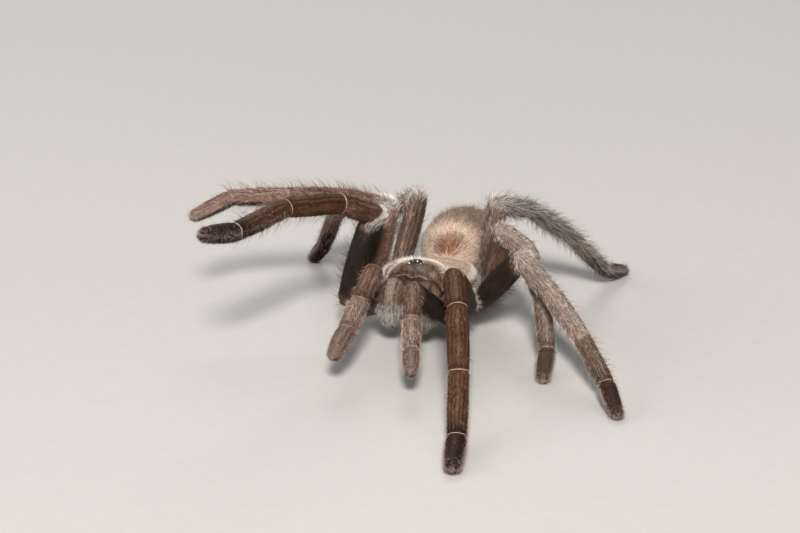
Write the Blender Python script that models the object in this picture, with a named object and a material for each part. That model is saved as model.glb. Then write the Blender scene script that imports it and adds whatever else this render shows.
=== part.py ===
"""A tarantula standing at rest, life size, as closed solids out to the tips of its short coat.

The animal faces -Y and its left side is +X. Sizes below are in millimetres and angles in degrees;
make_solid turns them into metres. Body pieces are shaped in the body's own frame (side, ahead, up),
whose centre lies under the middle of the carapace, and are then tipped head-up and set on the floor.
"""
import math

import bmesh
import bpy
import numpy as np

MM = 0.001
GAP = 0.3  # parting cut between neighbouring pieces

# How the body stands. BODY_PLACE centres the whole animal's outline on the origin.
BODY_PLACE = np.array([-1.10, 0.76, 9.8])
BODY_PITCH = 3.5

# Carapace: half widths and heights at stations ahead of its centre.
CARAPACE_LENGTH = 17.5
CARAPACE_MARGIN = -0.8  # level of its lower rim
CARAPACE_HALF_WIDTHS = [
    (-8.75, 2.0), (-8.2, 3.9), (-5.5, 6.6), (-1.5, 7.6), (2.0, 6.9), (4.8, 5.5), (7.4, 5.0), (8.75, 4.2),
]
CARAPACE_HEIGHTS = [(-8.75, 0.3), (-6.0, 1.0), (-2.6, 1.2), (1.0, 2.1), (4.5, 3.5), (7.2, 3.4), (8.75, 2.2)]

# Sternum block that carries the coxae, and the stalk to the abdomen.
STERNUM_LENGTH = 16.0
STERNUM_HALF_WIDTH = 4.6
STERNUM_TOP = CARAPACE_MARGIN - GAP
STERNUM_DEPTH = 4.2
STALK_RADIUS = 1.3
STALK_LENGTH = 2.2

# Abdomen, an egg whose front pole meets the stalk.
ABDOMEN_LENGTH = 20.0
ABDOMEN_HALF_WIDTH = 6.9
ABDOMEN_HALF_HEIGHT = 6.2
ABDOMEN_CENTRE_UP = -0.9
SPINNERET_LENGTHS = (2.2, 1.8, 1.6)
SPINNERET_RADII = (0.85, 0.75, 0.6, 0.3)
SPINNERET_SPREAD = 1.7

# Chelicerae hang from the front of the head on a quarter bend; each ends in a folded fang.
CHELICERA_HALF_WIDTH = 2.65
CHELICERA_HALF_HEIGHT = 2.4
CHELICERA_REACH = 1.7
CHELICERA_DROP = 5.0
FANG_RADIUS = 0.62
FANG_BEND = 2.5
FANG_TURNS = (35, 115)  # the fang's heading from straight down towards straight back, root and tip

# Eye turret on the head.
TURRET_AHEAD = 6.3
TURRET_HALF_WIDTH = 1.35
TURRET_HALF_LENGTH = 0.95
TURRET_HEIGHT = 0.8

# Legs: where each thigh begins (side, ahead, up), and its segment lengths from femur to tarsus.
LEG_ROOTS = {
    "palp": (7.8, 11.6, -3.7),
    "leg_1": (9.4, 6.3, -3.2),
    "leg_2": (9.6, 1.9, -3.4),
    "leg_3": (9.9, -2.6, -3.4),
    "leg_4": (8.6, -7.0, -3.3),
}
# How far the root of one leg is swung from its place, in side, ahead and up.
ROOT_SWINGS = {
    ("leg_1", "right"): (1.5, 2.2, 0.0),
    ("leg_2", "right"): (0.5, -3.2, 0.0),
    ("leg_3", "right"): (0.2, -3.2, 0.0),
    ("leg_4", "right"): (-0.5, -2.8, 0.0),
    ("leg_1", "left"): (-0.6, 0.0, 0.4),
}
COXA_STARTS = {
    "palp": (3.0, 3.8, -4.3),
    "leg_1": (3.0, 3.0, -3.4),
    "leg_2": (3.2, 1.0, -3.4),
    "leg_3": (3.2, -1.4, -3.4),
    "leg_4": (2.8, -3.6, -3.4),
}
LEG_SEGMENTS = ("femur", "patella", "tibia", "metatarsus", "tarsus")
PALP_SEGMENTS = ("femur", "patella", "tibia", "tarsus")
SEGMENT_LENGTHS = {
    "palp": (9.0, 5.4, 6.0, 6.2),
    "leg_1": (15.2, 8.0, 12.0, 11.4, 7.2),
    "leg_2": (13.5, 7.4, 10.0, 9.4, 6.4),
    "leg_3": (12.0, 6.0, 8.2, 9.0, 6.2),
    "leg_4": (14.5, 7.0, 11.6, 13.0, 6.8),
}
# Radii at the joints from the root to the toe, and the swell of each segment between them.
LEG_JOINT_RADII = (1.75, 1.9, 1.8, 1.7, 1.55, 1.3)
LEG_SWELL = (0.35, 0.1, 0.12, 0.05, 0.15)
PALP_JOINT_RADII = (1.45, 1.72, 1.68, 1.58, 1.3)
PALP_SWELL = (0.2, 0.08, 0.12, 0.22)
LEG_GIRTH = {"palp": 1.0, "leg_1": 1.0, "leg_2": 0.92, "leg_3": 0.9, "leg_4": 0.92}
FEMUR_TALLNESS = 1.12
SOLE_DEPTH = 0.15  # how far the round toe is flattened where it stands

# Poses. heading: the thigh's bearing from straight ahead towards its own side; knee_turn and curl:
# how far the patella and each later segment swing on from it; lifts: elevations of the segments.
# A leg that is not raised has the segments past its patella tipped together until the toe is on the floor.
POSES = {
    ("leg_1", "left"): dict(heading=6, knee_turn=15, curl=-3, lifts=(37, -13, -35, -37, -13)),
    ("leg_1", "right"): dict(heading=66, knee_turn=-35, curl=-5, lifts=(106, 26, 10, -4, 13)),
    ("leg_2", "left"): dict(heading=63, knee_turn=-1, curl=-11, lifts=(47, -31, -32, -28, -23)),
    ("leg_2", "right"): dict(heading=46, knee_turn=18, curl=-2, lifts=(103, 17, 5, 2, -23)),
    ("leg_3", "left"): dict(heading=71, knee_turn=-12, curl=-17, lifts=(76, -14, -60, -55, -31)),
    ("leg_3", "right"): dict(heading=128, knee_turn=4, curl=2, lifts=(70, 2, -42, -56, -40)),
    ("leg_4", "left"): dict(heading=117, knee_turn=17, curl=10, lifts=(84, -16, -45, -50, -24)),
    ("leg_4", "right"): dict(heading=181, knee_turn=-30, curl=-2, lifts=(42, -20, -34, -36, -24)),
    ("palp", "left"): dict(heading=-55, knee_turn=72, curl=0, lifts=(42, -36, -33, -9)),
    ("palp", "right"): dict(heading=-48, knee_turn=58, curl=-5, lifts=(60, -36, -32, -15)),
}
RAISED = {("leg_1", "right"), ("leg_2", "right"), ("palp", "left"), ("palp", "right")}

# Mesh fineness.
LEG_SIDES = 10
SEGMENT_STATIONS = 5
TOE_STATIONS = 3
COXA_SIDES = 8

COLOURS = {
    "leg": (0.20, 0.145, 0.105, 1),
    "carapace": (0.33, 0.28, 0.23, 1),
    "abdomen": (0.50, 0.37, 0.27, 1),
    "underside": (0.12, 0.085, 0.065, 1),
    "chelicera": (0.26, 0.22, 0.18, 1),
    "fang": (0.015, 0.008, 0.006, 1),
    "eye": (0.01, 0.01, 0.012, 1),
}


def clear_scene():
    for obj in list(bpy.data.objects):
        bpy.data.objects.remove(obj, do_unlink=True)


def material(kind):
    """One plain finish for each kind of surface."""
    found = bpy.data.materials.get(kind)
    if found:
        return found
    made = bpy.data.materials.new(kind)
    made.use_nodes = True
    shader = made.node_tree.nodes["Principled BSDF"]
    shader.inputs["Base Color"].default_value = COLOURS[kind]
    shader.inputs["Roughness"].default_value = 0.2 if kind in ("fang", "eye") else 0.85
    made.diffuse_color = COLOURS[kind]
    return made


def make_solid(name, points, faces, kind):
    mesh = bpy.data.meshes.new(name)
    mesh.from_pydata([tuple(p * MM) for p in np.asarray(points, float)], [], faces)
    shell = bmesh.new()
    shell.from_mesh(mesh)
    bmesh.ops.recalc_face_normals(shell, faces=shell.faces)
    shell.to_mesh(mesh)
    shell.free()
    mesh.shade_smooth()
    mesh.set_sharp_from_angle(angle=math.radians(50))
    mesh.materials.append(material(kind))
    obj = bpy.data.objects.new(name, mesh)
    bpy.context.scene.collection.objects.link(obj)
    return obj


def loft(rings):
    """Points and faces of a closed skin over rings of equal count, capped at both ends."""
    rings = [np.asarray(r, float) for r in rings]
    count = len(rings[0])
    points = np.concatenate(rings)
    faces = [tuple(reversed(range(count)))]
    for i in range(len(rings) - 1):
        for j in range(count):
            a, b = i * count + j, i * count + (j + 1) % count
            faces.append((a, b, b + count, a + count))
    last = (len(rings) - 1) * count
    faces.append(tuple(last + j for j in range(count)))
    return points, faces


def smooth_profile(stations):
    """A curve through (place, value) pairs, by cubic pieces whose slopes never overshoot."""
    x, y = np.array(stations, float).T
    step = np.diff(y) / np.diff(x)
    slope = np.concatenate([[step[0]], (step[:-1] + step[1:]) / 2, [step[-1]]])
    slope[1:-1][step[:-1] * step[1:] <= 0] = 0

    def value(at):
        at = np.clip(at, x[0], x[-1])
        k = np.clip(np.searchsorted(x, at) - 1, 0, len(x) - 2)
        width = x[k + 1] - x[k]
        t = (at - x[k]) / width
        return (
            (2 * t**3 - 3 * t**2 + 1) * y[k]
            + (t**3 - 2 * t**2 + t) * width * slope[k]
            + (3 * t**2 - 2 * t**3) * y[k + 1]
            + (t**3 - t**2) * width * slope[k + 1]
        )

    return value


half_width = smooth_profile(CARAPACE_HALF_WIDTHS)
crown = smooth_profile(CARAPACE_HEIGHTS)


def carapace_top(side, ahead):
    """Height of the carapace: a crown that falls to the rim as a superellipse."""
    share = np.clip(np.abs(side) / half_width(ahead), 0, 1)
    rim = CARAPACE_MARGIN + 0.5
    return rim + (crown(ahead) - rim) * (1 - share**2.3) ** 0.55


def to_world(points):
    """Body frame (side, ahead, up) to the standing animal: tipped head-up, then put in place."""
    side, ahead, up = np.asarray(points, float).reshape(-1, 3).T
    t = math.radians(BODY_PITCH)
    y = -(ahead * math.cos(t) - up * math.sin(t))
    z = ahead * math.sin(t) + up * math.cos(t)
    return np.column_stack([side, y, z]) + BODY_PLACE


def bearing(heading, lift, side):
    """Unit vector from a heading, measured from -Y towards the animal's own side, and an elevation."""
    h, e = math.radians(heading), math.radians(lift)
    return np.array([side * math.sin(h) * math.cos(e), -math.cos(h) * math.cos(e), math.sin(e)])


def leg_radii(kind):
    """Radii at the joints from root to toe, and the swells between them."""
    radii, swells = (PALP_JOINT_RADII, PALP_SWELL) if kind == "palp" else (LEG_JOINT_RADII, LEG_SWELL)
    return [LEG_GIRTH[kind] * r for r in radii], [LEG_GIRTH[kind] * w for w in swells]


def leg_root(kind, side):
    """Where the thigh of one leg starts, in the body frame."""
    swing = ROOT_SWINGS.get((kind, "left" if side > 0 else "right"), (0.0, 0.0, 0.0))
    return (np.array(LEG_ROOTS[kind]) + swing) * [side, 1, 1]


def leg_joints(kind, hand):
    """Joint centres from the root to the toe, and each segment's axis and heading."""
    side = 1 if hand == "left" else -1
    pose, lengths = POSES[kind, hand], SEGMENT_LENGTHS[kind]
    turns = [0] + [pose["knee_turn"] + i * pose["curl"] for i in range(len(lengths) - 1)]
    headings = [pose["heading"] + turn for turn in turns]
    start = to_world(leg_root(kind, side))[0]
    sole = leg_radii(kind)[0][-1] - SOLE_DEPTH

    def lay(tip):
        """Joints and axes with every segment past the patella tipped down by `tip` degrees."""
        lifts = [e if i < 2 else e - tip for i, e in enumerate(pose["lifts"])]
        axes = [bearing(h, e, side) for h, e in zip(headings, lifts)]
        steps = [length * axis for length, axis in zip(lengths, axes)]
        return np.vstack([start, start + np.cumsum(steps, axis=0)]), axes

    low, high = -60.0, 60.0
    while (kind, hand) not in RAISED and high - low > 1e-6:
        tip = (low + high) / 2
        if lay(tip)[0][-1][2] > sole:
            low = tip
        else:
            high = tip
    joints, axes = lay((low + high) / 2)
    return list(joints), axes, headings


def cut_normals(first, axes):
    """Normals of the cutting planes: at a joint, halfway between the axes on its two sides."""
    around = [first, *axes]
    normals = [a + b for a, b in zip(around, axes)]
    return [n / np.linalg.norm(n) for n in normals] + [axes[-1]]


def tube(start, end, normals, radii, level, tallness=1.0, swell=0.0, round_toe=False, sides=LEG_SIDES):
    """A tapered tube between two joints, its ends cut along the joint planes a half gap short.

    Each long edge runs from one plane to the other, so the rings lean over gradually."""
    axis = (end - start) / np.linalg.norm(end - start)
    over = np.cross(axis, level)
    angle = 2 * math.pi * np.arange(sides) / sides
    spoke = np.outer(np.cos(angle), level) + tallness * np.outer(np.sin(angle), over)
    length = np.linalg.norm(end - start)

    def reach(normal, radius, shift):
        return (shift - radius * spoke @ normal) / (axis @ normal)

    half = 0.0 if round_toe else GAP / 2
    near = reach(normals[0], radii[0], GAP / 2)
    far = length + reach(normals[1], radii[1], -half)
    rings = []
    for t in np.linspace(0, 1, SEGMENT_STATIONS):
        radius = radii[0] + (radii[1] - radii[0]) * t + swell * math.sin(math.pi * t)
        rings.append(start + np.outer(near + (far - near) * t, axis) + radius * spoke)
    if round_toe:
        for k in range(1, TOE_STATIONS + 1):
            bend = math.radians(78) * k / TOE_STATIONS
            centre = end + axis * radii[1] * math.sin(bend)
            rings.append(centre + radii[1] * math.cos(bend) * spoke)
    return rings


def build_leg(kind, hand):
    side = 1 if hand == "left" else -1
    joints, axes, headings = leg_joints(kind, hand)
    radii, swells = leg_radii(kind)
    names = PALP_SEGMENTS if kind == "palp" else LEG_SEGMENTS
    normals = cut_normals(coxa_axis(kind, side), axes)
    for i, name in enumerate(names):
        h = math.radians(headings[i])
        level = np.array([math.cos(h), side * math.sin(h), 0.0])
        rings = tube(
            joints[i], joints[i + 1], normals[i : i + 2], radii[i : i + 2], level,
            FEMUR_TALLNESS if name == "femur" else 1.0, swells[i], round_toe=name == "tarsus",
        )
        if name == "tarsus":
            rings = [np.column_stack([r[:, :2], np.maximum(r[:, 2], 0)]) for r in rings]
        make_solid(f"{kind}_{hand}_{name}", *loft(rings), "leg")


def coxa_axis(kind, side):
    start, end = to_world(np.array([COXA_STARTS[kind] * np.array([side, 1, 1]), leg_root(kind, side)]))
    return (end - start) / np.linalg.norm(end - start)


def build_carapace():
    stations = np.linspace(-CARAPACE_LENGTH / 2, CARAPACE_LENGTH / 2, 12)
    rings = []
    for ahead in stations:
        wide = half_width(ahead)
        share = -np.cos(np.linspace(0, math.pi, 15))
        top = np.column_stack([wide * share, np.full(15, ahead), carapace_top(wide * share, ahead)])
        rim = np.array([[0.96 * wide * s, ahead, CARAPACE_MARGIN] for s in (1, 0.4, -0.4, -1)])
        rings.append(to_world(np.concatenate([top, rim])))
    make_solid("carapace", *loft(rings), "carapace")


def build_underside():
    """Sternum block, the stalk and the ten coxae with their trochanters, joined into one piece."""
    angle = 2 * math.pi * np.arange(14) / 14
    rings = []
    for down, share in ((0.0, 0.97), (0.35, 1.0), (0.75, 0.86), (1.0, 0.55)):
        side = STERNUM_HALF_WIDTH * share * np.cos(angle)
        ahead = STERNUM_LENGTH / 2 * share * np.sin(angle) + 0.2
        up = np.full(14, STERNUM_TOP - STERNUM_DEPTH * down)
        rings.append(to_world(np.column_stack([side, ahead, up])))
    block = make_solid("underside", *loft(rings), "underside")
    helpers = [stalk()]
    for kind in LEG_ROOTS:
        helpers += [coxa(kind, 1), coxa(kind, -1)]
    for helper in helpers:
        helper.hide_render = True
        helper.display_type = "WIRE"
        join = block.modifiers.new(f"join_{helper.name}", "BOOLEAN")
        join.operation = "UNION"
        join.object = helper
    return block


def stalk():
    angle = 2 * math.pi * np.arange(10) / 10
    start = -STERNUM_LENGTH / 2 + 2.0
    rings = []
    for ahead in (start, -CARAPACE_LENGTH / 2 - STALK_LENGTH + GAP):
        ring = np.column_stack([
            STALK_RADIUS * np.cos(angle),
            np.full(10, ahead),
            ABDOMEN_CENTRE_UP - 1.2 + STALK_RADIUS * np.sin(angle),
        ])
        rings.append(to_world(ring))
    return make_solid("stalk", *loft(rings), "underside")


def coxa(kind, side):
    """A short tube out of the sternum block, cut square to meet the thigh."""
    start, end = to_world(np.array([COXA_STARTS[kind] * np.array([side, 1, 1]), leg_root(kind, side)]))
    hand = "left" if side > 0 else "right"
    axis = coxa_axis(kind, side)
    thigh = leg_joints(kind, hand)[1][0]
    normal = (axis + thigh) / np.linalg.norm(axis + thigh)
    level = np.cross([0, 0, 1], axis)
    level = level / np.linalg.norm(level)
    outer = leg_radii(kind)[0][0]
    rings = tube(start, end, (axis, normal), (outer * 1.05, outer), level, sides=COXA_SIDES)
    return make_solid(f"coxa_{kind}_{hand}", *loft(rings), "underside")


def build_abdomen():
    """An egg, fuller behind the middle: rings of a superellipse from the front pole to the rear."""
    angle = 2 * math.pi * np.arange(20) / 20
    front = -CARAPACE_LENGTH / 2 - STALK_LENGTH
    rings = []
    for t in np.linspace(0.02, 0.98, 13):
        bulge = (1 - abs(2 * t - 1) ** 2.3) ** 0.5 * (0.94 + 0.12 * t)
        ring = np.column_stack([
            ABDOMEN_HALF_WIDTH * bulge * np.cos(angle),
            np.full(20, front - ABDOMEN_LENGTH * t),
            ABDOMEN_CENTRE_UP + ABDOMEN_HALF_HEIGHT * bulge * np.sin(angle),
        ])
        rings.append(to_world(ring))
    make_solid("abdomen", *loft(rings), "abdomen")


def build_spinneret(hand):
    side = 1 if hand == "left" else -1
    rear = -CARAPACE_LENGTH / 2 - STALK_LENGTH - ABDOMEN_LENGTH - GAP
    start = np.array([side * SPINNERET_SPREAD / 2, rear, ABDOMEN_CENTRE_UP - 0.9])
    axis = np.array([side * 0.35, -0.9, 0.28])
    axis /= np.linalg.norm(axis)
    level = np.cross([0, 0, 1.0], axis)
    level /= np.linalg.norm(level)
    over = np.cross(axis, level)
    angle = 2 * math.pi * np.arange(8) / 8
    spoke = np.outer(np.cos(angle), level) + np.outer(np.sin(angle), over)
    places = np.concatenate([[0], np.cumsum(SPINNERET_LENGTHS)])
    start = start + axis * 0.15
    rings = [to_world(start + axis * p + r * spoke) for p, r in zip(places, SPINNERET_RADII)]
    make_solid(f"spinneret_{hand}", *loft(rings), "abdomen")


def chelicera_line(t):
    """Centre line of a chelicera in the body's middle plane: a quarter of an ellipse, front to tip."""
    a = t * math.pi / 2
    ahead = CARAPACE_LENGTH / 2 + GAP + CHELICERA_REACH * math.sin(a)
    up = -0.4 - CHELICERA_DROP * (1 - math.cos(a))
    lean = math.atan2(CHELICERA_DROP * math.sin(a), CHELICERA_REACH * math.cos(a) + 1e-9)
    return ahead, up, lean


def build_chelicera(hand):
    side = 1 if hand == "left" else -1
    angle = 2 * math.pi * np.arange(14) / 14
    middle = side * (CHELICERA_HALF_WIDTH + GAP / 2)
    rings = []
    for t, share in ((0, 0.9), (0.2, 1.0), (0.45, 1.02), (0.7, 0.93), (0.88, 0.74), (1.0, 0.42)):
        ahead, up, lean = chelicera_line(t)
        tall = CHELICERA_HALF_HEIGHT * share * (1 - 0.25 * t)
        ring = np.column_stack([
            middle + CHELICERA_HALF_WIDTH * share * np.cos(angle),
            ahead + tall * math.sin(lean) * np.sin(angle),
            up + tall * math.cos(lean) * np.sin(angle),
        ])
        rings.append(to_world(ring))
    make_solid(f"chelicera_{hand}", *loft(rings), "chelicera")


def build_fang(hand):
    """A tapering hook that folds back under the chelicera, along the middle of a circle's arc."""
    side = 1 if hand == "left" else -1
    ahead, up, _ = chelicera_line(1.0)
    middle = side * (CHELICERA_HALF_WIDTH + GAP / 2)
    angle = 2 * math.pi * np.arange(8) / 8
    first, last = map(math.radians, FANG_TURNS)
    rings = []
    for t in np.linspace(0, 1, 6):
        turn = first + (last - first) * t
        centre_ahead = ahead - 0.3 - FANG_BEND * (math.cos(first) - math.cos(turn))
        centre_up = up - 0.75 - FANG_BEND * (math.sin(turn) - math.sin(first))
        radius = FANG_RADIUS * (1 - 0.62 * t)
        rings.append(to_world(np.column_stack([
            middle + radius * np.cos(angle),
            centre_ahead + radius * math.cos(turn) * np.sin(angle),
            centre_up - radius * math.sin(turn) * np.sin(angle),
        ])))
    make_solid(f"fang_{hand}", *loft(rings), "fang")


def build_eye_turret():
    """A low mound whose foot follows the carapace a gap above it."""
    angle = 2 * math.pi * np.arange(14) / 14
    rings = []
    for share, rise in ((1.0, 0.0), (0.92, 0.55), (0.6, 0.9), (0.25, 1.0)):
        side = TURRET_HALF_WIDTH * share * np.cos(angle)
        ahead = TURRET_AHEAD + TURRET_HALF_LENGTH * share * np.sin(angle)
        foot = carapace_top(side, ahead) + GAP
        level = carapace_top(0, TURRET_AHEAD) + TURRET_HEIGHT
        rings.append(to_world(np.column_stack([side, ahead, foot + (level - foot) * rise])))
    make_solid("eye_turret", *loft(rings), "eye")


def main():
    clear_scene()
    build_carapace()
    build_underside()
    build_abdomen()
    build_eye_turret()
    for hand in ("left", "right"):
        build_chelicera(hand)
        build_fang(hand)
        build_spinneret(hand)
        for kind in LEG_ROOTS:
            build_leg(kind, hand)


main()
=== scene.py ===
"""A brown tarantula standing at rest, life size: skin, coat, eyes, fangs and claws over the CAD frame.

Lengths are worked out in millimetres in the animal's own terms and turned into metres when a mesh is
made. The animal faces -Y and its left side is +X. Body shapes use (side, ahead, up) from a point under
the middle of the carapace; to_world stands them on the floor.
"""
import math
from types import SimpleNamespace

import bpy
import numpy as np
from mathutils import Matrix, Vector


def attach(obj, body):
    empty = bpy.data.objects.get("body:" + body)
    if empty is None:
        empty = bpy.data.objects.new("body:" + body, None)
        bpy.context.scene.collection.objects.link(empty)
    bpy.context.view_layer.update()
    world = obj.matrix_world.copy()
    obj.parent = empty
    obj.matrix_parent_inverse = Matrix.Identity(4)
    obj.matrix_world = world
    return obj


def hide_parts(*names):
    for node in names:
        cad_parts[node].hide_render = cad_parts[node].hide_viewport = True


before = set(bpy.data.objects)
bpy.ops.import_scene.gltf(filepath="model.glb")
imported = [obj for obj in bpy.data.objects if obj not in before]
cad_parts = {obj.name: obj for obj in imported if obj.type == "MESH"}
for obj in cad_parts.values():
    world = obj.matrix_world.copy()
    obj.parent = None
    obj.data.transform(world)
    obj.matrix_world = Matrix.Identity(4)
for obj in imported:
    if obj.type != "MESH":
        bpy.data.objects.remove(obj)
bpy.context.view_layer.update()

MM = 0.001
COAT_DEPTH = 0.30  # the skin lies this far inside the outline of the body
SKIN_VOXEL = 0.32
SKIN_GAP = 0.06  # the lowest that the skin of a foot comes to the floor
HAIR_GAP = 0.02  # and the lowest that a hair or a rim comes

# How the body stands.
BODY_PLACE = np.array([-1.10, 0.76, 9.8])
BODY_PITCH = math.radians(3.5)

# Carapace.
CARAPACE_LENGTH = 17.5
CARAPACE_MARGIN = -0.8
CARAPACE_HALF_WIDTHS = [
    (-8.75, 2.0), (-8.2, 3.9), (-5.5, 6.6), (-1.5, 7.6), (2.0, 6.9), (4.8, 5.5), (7.4, 5.0), (8.75, 4.2),
]
CARAPACE_HEIGHTS = [(-8.75, 0.3), (-6.0, 1.0), (-2.6, 1.2), (1.0, 2.1), (4.5, 3.5), (7.2, 3.4), (8.75, 2.2)]
FOVEA_AHEAD = -2.6

# Sternum, stalk and abdomen.
STERNUM_LENGTH = 16.0
STERNUM_HALF_WIDTH = 4.6
STERNUM_TOP = -1.1
STERNUM_DEPTH = 4.2
STALK_RADIUS = 1.3
STALK_LENGTH = 2.2
ABDOMEN_LENGTH = 20.0
ABDOMEN_HALF_WIDTH = 6.9
ABDOMEN_HALF_HEIGHT = 6.2
ABDOMEN_CENTRE_UP = -0.9
ABDOMEN_FRONT = -CARAPACE_LENGTH / 2 - STALK_LENGTH
SPINNERET_LENGTHS = (2.2, 1.8, 1.6)
SPINNERET_RADII = (0.85, 0.75, 0.6, 0.3)
SPINNERET_SPREAD = 1.7

# Chelicerae and fangs.
CHELICERA_HALF_WIDTH = 2.65
CHELICERA_HALF_HEIGHT = 2.4
CHELICERA_REACH = 1.7
CHELICERA_DROP = 5.0
CHELICERA_ASIDE = CHELICERA_HALF_WIDTH + 0.15
CHELICERA_START = (CARAPACE_LENGTH / 2 + 0.3, -0.4)  # ahead and up
FANG_RADIUS = 0.62
FANG_BEND = 2.5
FANG_TURNS = (35, 115)

# Eye turret, and the eyes on half of it: side, ahead of its middle, radii along and across.
TURRET_AHEAD = 6.3
TURRET_HALF_WIDTH = 1.35
TURRET_HALF_LENGTH = 0.95
TURRET_HEIGHT = 0.8
EYES = ((0.37, 0.52, 0.28, 0.27), (1.02, 0.72, 0.33, 0.22),
        (0.62, -0.34, 0.19, 0.17), (1.08, -0.22, 0.29, 0.19))

# Legs.
LEG_ROOTS = {
    "palp": (7.8, 11.6, -3.7),
    "leg_1": (9.4, 6.3, -3.2),
    "leg_2": (9.6, 1.9, -3.4),
    "leg_3": (9.9, -2.6, -3.4),
    "leg_4": (8.6, -7.0, -3.3),
}
# How far the root of one leg is swung from its place, in side, ahead and up.
ROOT_SWINGS = {
    ("leg_1", "right"): (1.5, 2.2, 0.0),
    ("leg_2", "right"): (0.5, -3.2, 0.0),
    ("leg_3", "right"): (0.2, -3.2, 0.0),
    ("leg_4", "right"): (-0.5, -2.8, 0.0),
    ("leg_1", "left"): (-0.6, 0.0, 0.4),
}
COXA_STARTS = {
    "palp": (3.0, 3.8, -4.3),
    "leg_1": (3.0, 3.0, -3.4),
    "leg_2": (3.2, 1.0, -3.4),
    "leg_3": (3.2, -1.4, -3.4),
    "leg_4": (2.8, -3.6, -3.4),
}
SEGMENT_LENGTHS = {
    "palp": (9.0, 5.4, 6.0, 6.2),
    "leg_1": (15.2, 8.0, 12.0, 11.4, 7.2),
    "leg_2": (13.5, 7.4, 10.0, 9.4, 6.4),
    "leg_3": (12.0, 6.0, 8.2, 9.0, 6.2),
    "leg_4": (14.5, 7.0, 11.6, 13.0, 6.8),
}
FEMUR, PATELLA = 1, 2  # segments are numbered from the coxa, 0; a palp has no metatarsus
TARSUS = {"palp": 4, "leg_1": 5, "leg_2": 5, "leg_3": 5, "leg_4": 5}
LEG_JOINT_RADII = (1.75, 1.9, 1.8, 1.7, 1.55, 1.3)
LEG_SWELL = (0.35, 0.1, 0.12, 0.05, 0.15)
PALP_JOINT_RADII = (1.45, 1.72, 1.68, 1.58, 1.3)
PALP_SWELL = (0.2, 0.08, 0.12, 0.22)
LEG_GIRTH = {"palp": 1.0, "leg_1": 1.0, "leg_2": 0.92, "leg_3": 0.9, "leg_4": 0.92}
SOLE_DEPTH = 0.15
POSES = {
    ("leg_1", "left"): dict(heading=6, knee_turn=15, curl=-3, lifts=(37, -13, -35, -37, -13)),
    ("leg_1", "right"): dict(heading=66, knee_turn=-35, curl=-5, lifts=(106, 26, 10, -4, 13)),
    ("leg_2", "left"): dict(heading=63, knee_turn=-1, curl=-11, lifts=(47, -31, -32, -28, -23)),
    ("leg_2", "right"): dict(heading=46, knee_turn=18, curl=-2, lifts=(103, 17, 5, 2, -23)),
    ("leg_3", "left"): dict(heading=71, knee_turn=-12, curl=-17, lifts=(76, -14, -60, -55, -31)),
    ("leg_3", "right"): dict(heading=128, knee_turn=4, curl=2, lifts=(70, 2, -42, -56, -40)),
    ("leg_4", "left"): dict(heading=117, knee_turn=17, curl=10, lifts=(84, -16, -45, -50, -24)),
    ("leg_4", "right"): dict(heading=181, knee_turn=-30, curl=-2, lifts=(42, -20, -34, -36, -24)),
    ("palp", "left"): dict(heading=-55, knee_turn=72, curl=0, lifts=(42, -36, -33, -9)),
    ("palp", "right"): dict(heading=-48, knee_turn=58, curl=-5, lifts=(60, -36, -32, -15)),
}
REACHING = {("leg_1", "right"), ("leg_2", "right")}
RAISED = REACHING | {("palp", "left"), ("palp", "right")}
LEG_SIDES = 72
RING_SPACING = 0.42
FEMUR_TALLNESS = 1.12
# How far the upper edge of a segment overhangs the next, in radii: on a standing leg, on a reaching one.
JOINT_OVERHANG = (0.42, 0.12)
# How far past a joint's centre a segment may reach, in radii, so that a bent knee is blunt.
KNEE_CUT = 0.4
JOINT_PINCH = 0.16  # how much a leg narrows at a joint
SEAM_SHARES = (1.0, 0.7, 0.4, 0.15)  # how far the rings next to a joint follow its seam
TOE_RINGS = 4
TOE_TURN = 78

# The coat of each leg. grey is how far it is greyed on coxa, femur, patella, tibia, metatarsus and tarsus.
# shag is long pale hair, and white is white hair on the femur's end and on the patella's start. bare is how
# bare and dark the femur's front face and underside are: partly its real bare face, partly painted shade
# where the femur lies in shadow. warm is the pinkness of the pale hair. All run from 0 to 1.
# tone shifts the coat beyond the femur, by red, green and blue. slim draws the skin in, in mm, under hair
# that stands thicker.
# painted shade: the cool tone darkens and cools a lower leg that lies in shadow; the rusty tone is the
# coat's own
SHADE_COOL, RUSTY = (0.85, 0.97, 1.04), (0.97, 0.9, 0.82)
COATS = {
    ("leg_1", "left"): dict(grey=(0.3, 0, 0, 0.04, 0.06, 0), shag=0.08, bare=0.95, tone=RUSTY),
    ("leg_1", "right"): dict(grey=(0.05, 0.05, 0.15, 0, 0, 0), shag=0.12, white=(0.48, 0), bare=0.95,
                             warm=0.5),
    ("leg_2", "left"): dict(grey=(0.4, 0.1, 1, 1, 0.32, 0.1), shag=0.45, white=(0.1, 0.15), bare=0.75),
    ("leg_2", "right"): dict(grey=(0.4, 0.66, 0.5, 0.55, 0.82, 0.7), shag=0.55, white=(0.3, 1), bare=0.1,
                             warm=0.65),
    ("leg_3", "left"): dict(grey=(0.4, 0.25, 1, 0.85, 0.5, 0.3), shag=0.4, white=(0.15, 0.2), bare=0.2),
    ("leg_3", "right"): dict(grey=(0.4, 0.25, 0.5, 0.5, 0.4, 0.3), shag=0.45, white=(0.2, 0.2), bare=0.3),
    ("leg_4", "left"): dict(grey=(0.4, 0.5, 0.6, 0.45, 0.32, 0.26), shag=1, white=(0.2, 0.15), tone=SHADE_COOL),
    ("leg_4", "right"): dict(grey=(0.4, 0.25, 0.5, 0.6, 0.5, 0.4), shag=0.5, white=(0.3, 0.1)),
    ("palp", "left"): dict(grey=(0.4, 0.1, 0.28, 0.65, 0.7), shag=0.35, bare=0.95, warm=0.2, slim=0.22),
    ("palp", "right"): dict(grey=(0.4, 0.1, 0.22, 0.6, 0.65), shag=0.35, bare=0.9, warm=0.2),
}
PLAIN_COAT = dict(white=(0, 0), bare=0, warm=0, tone=(1, 1, 1), slim=0)

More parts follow.
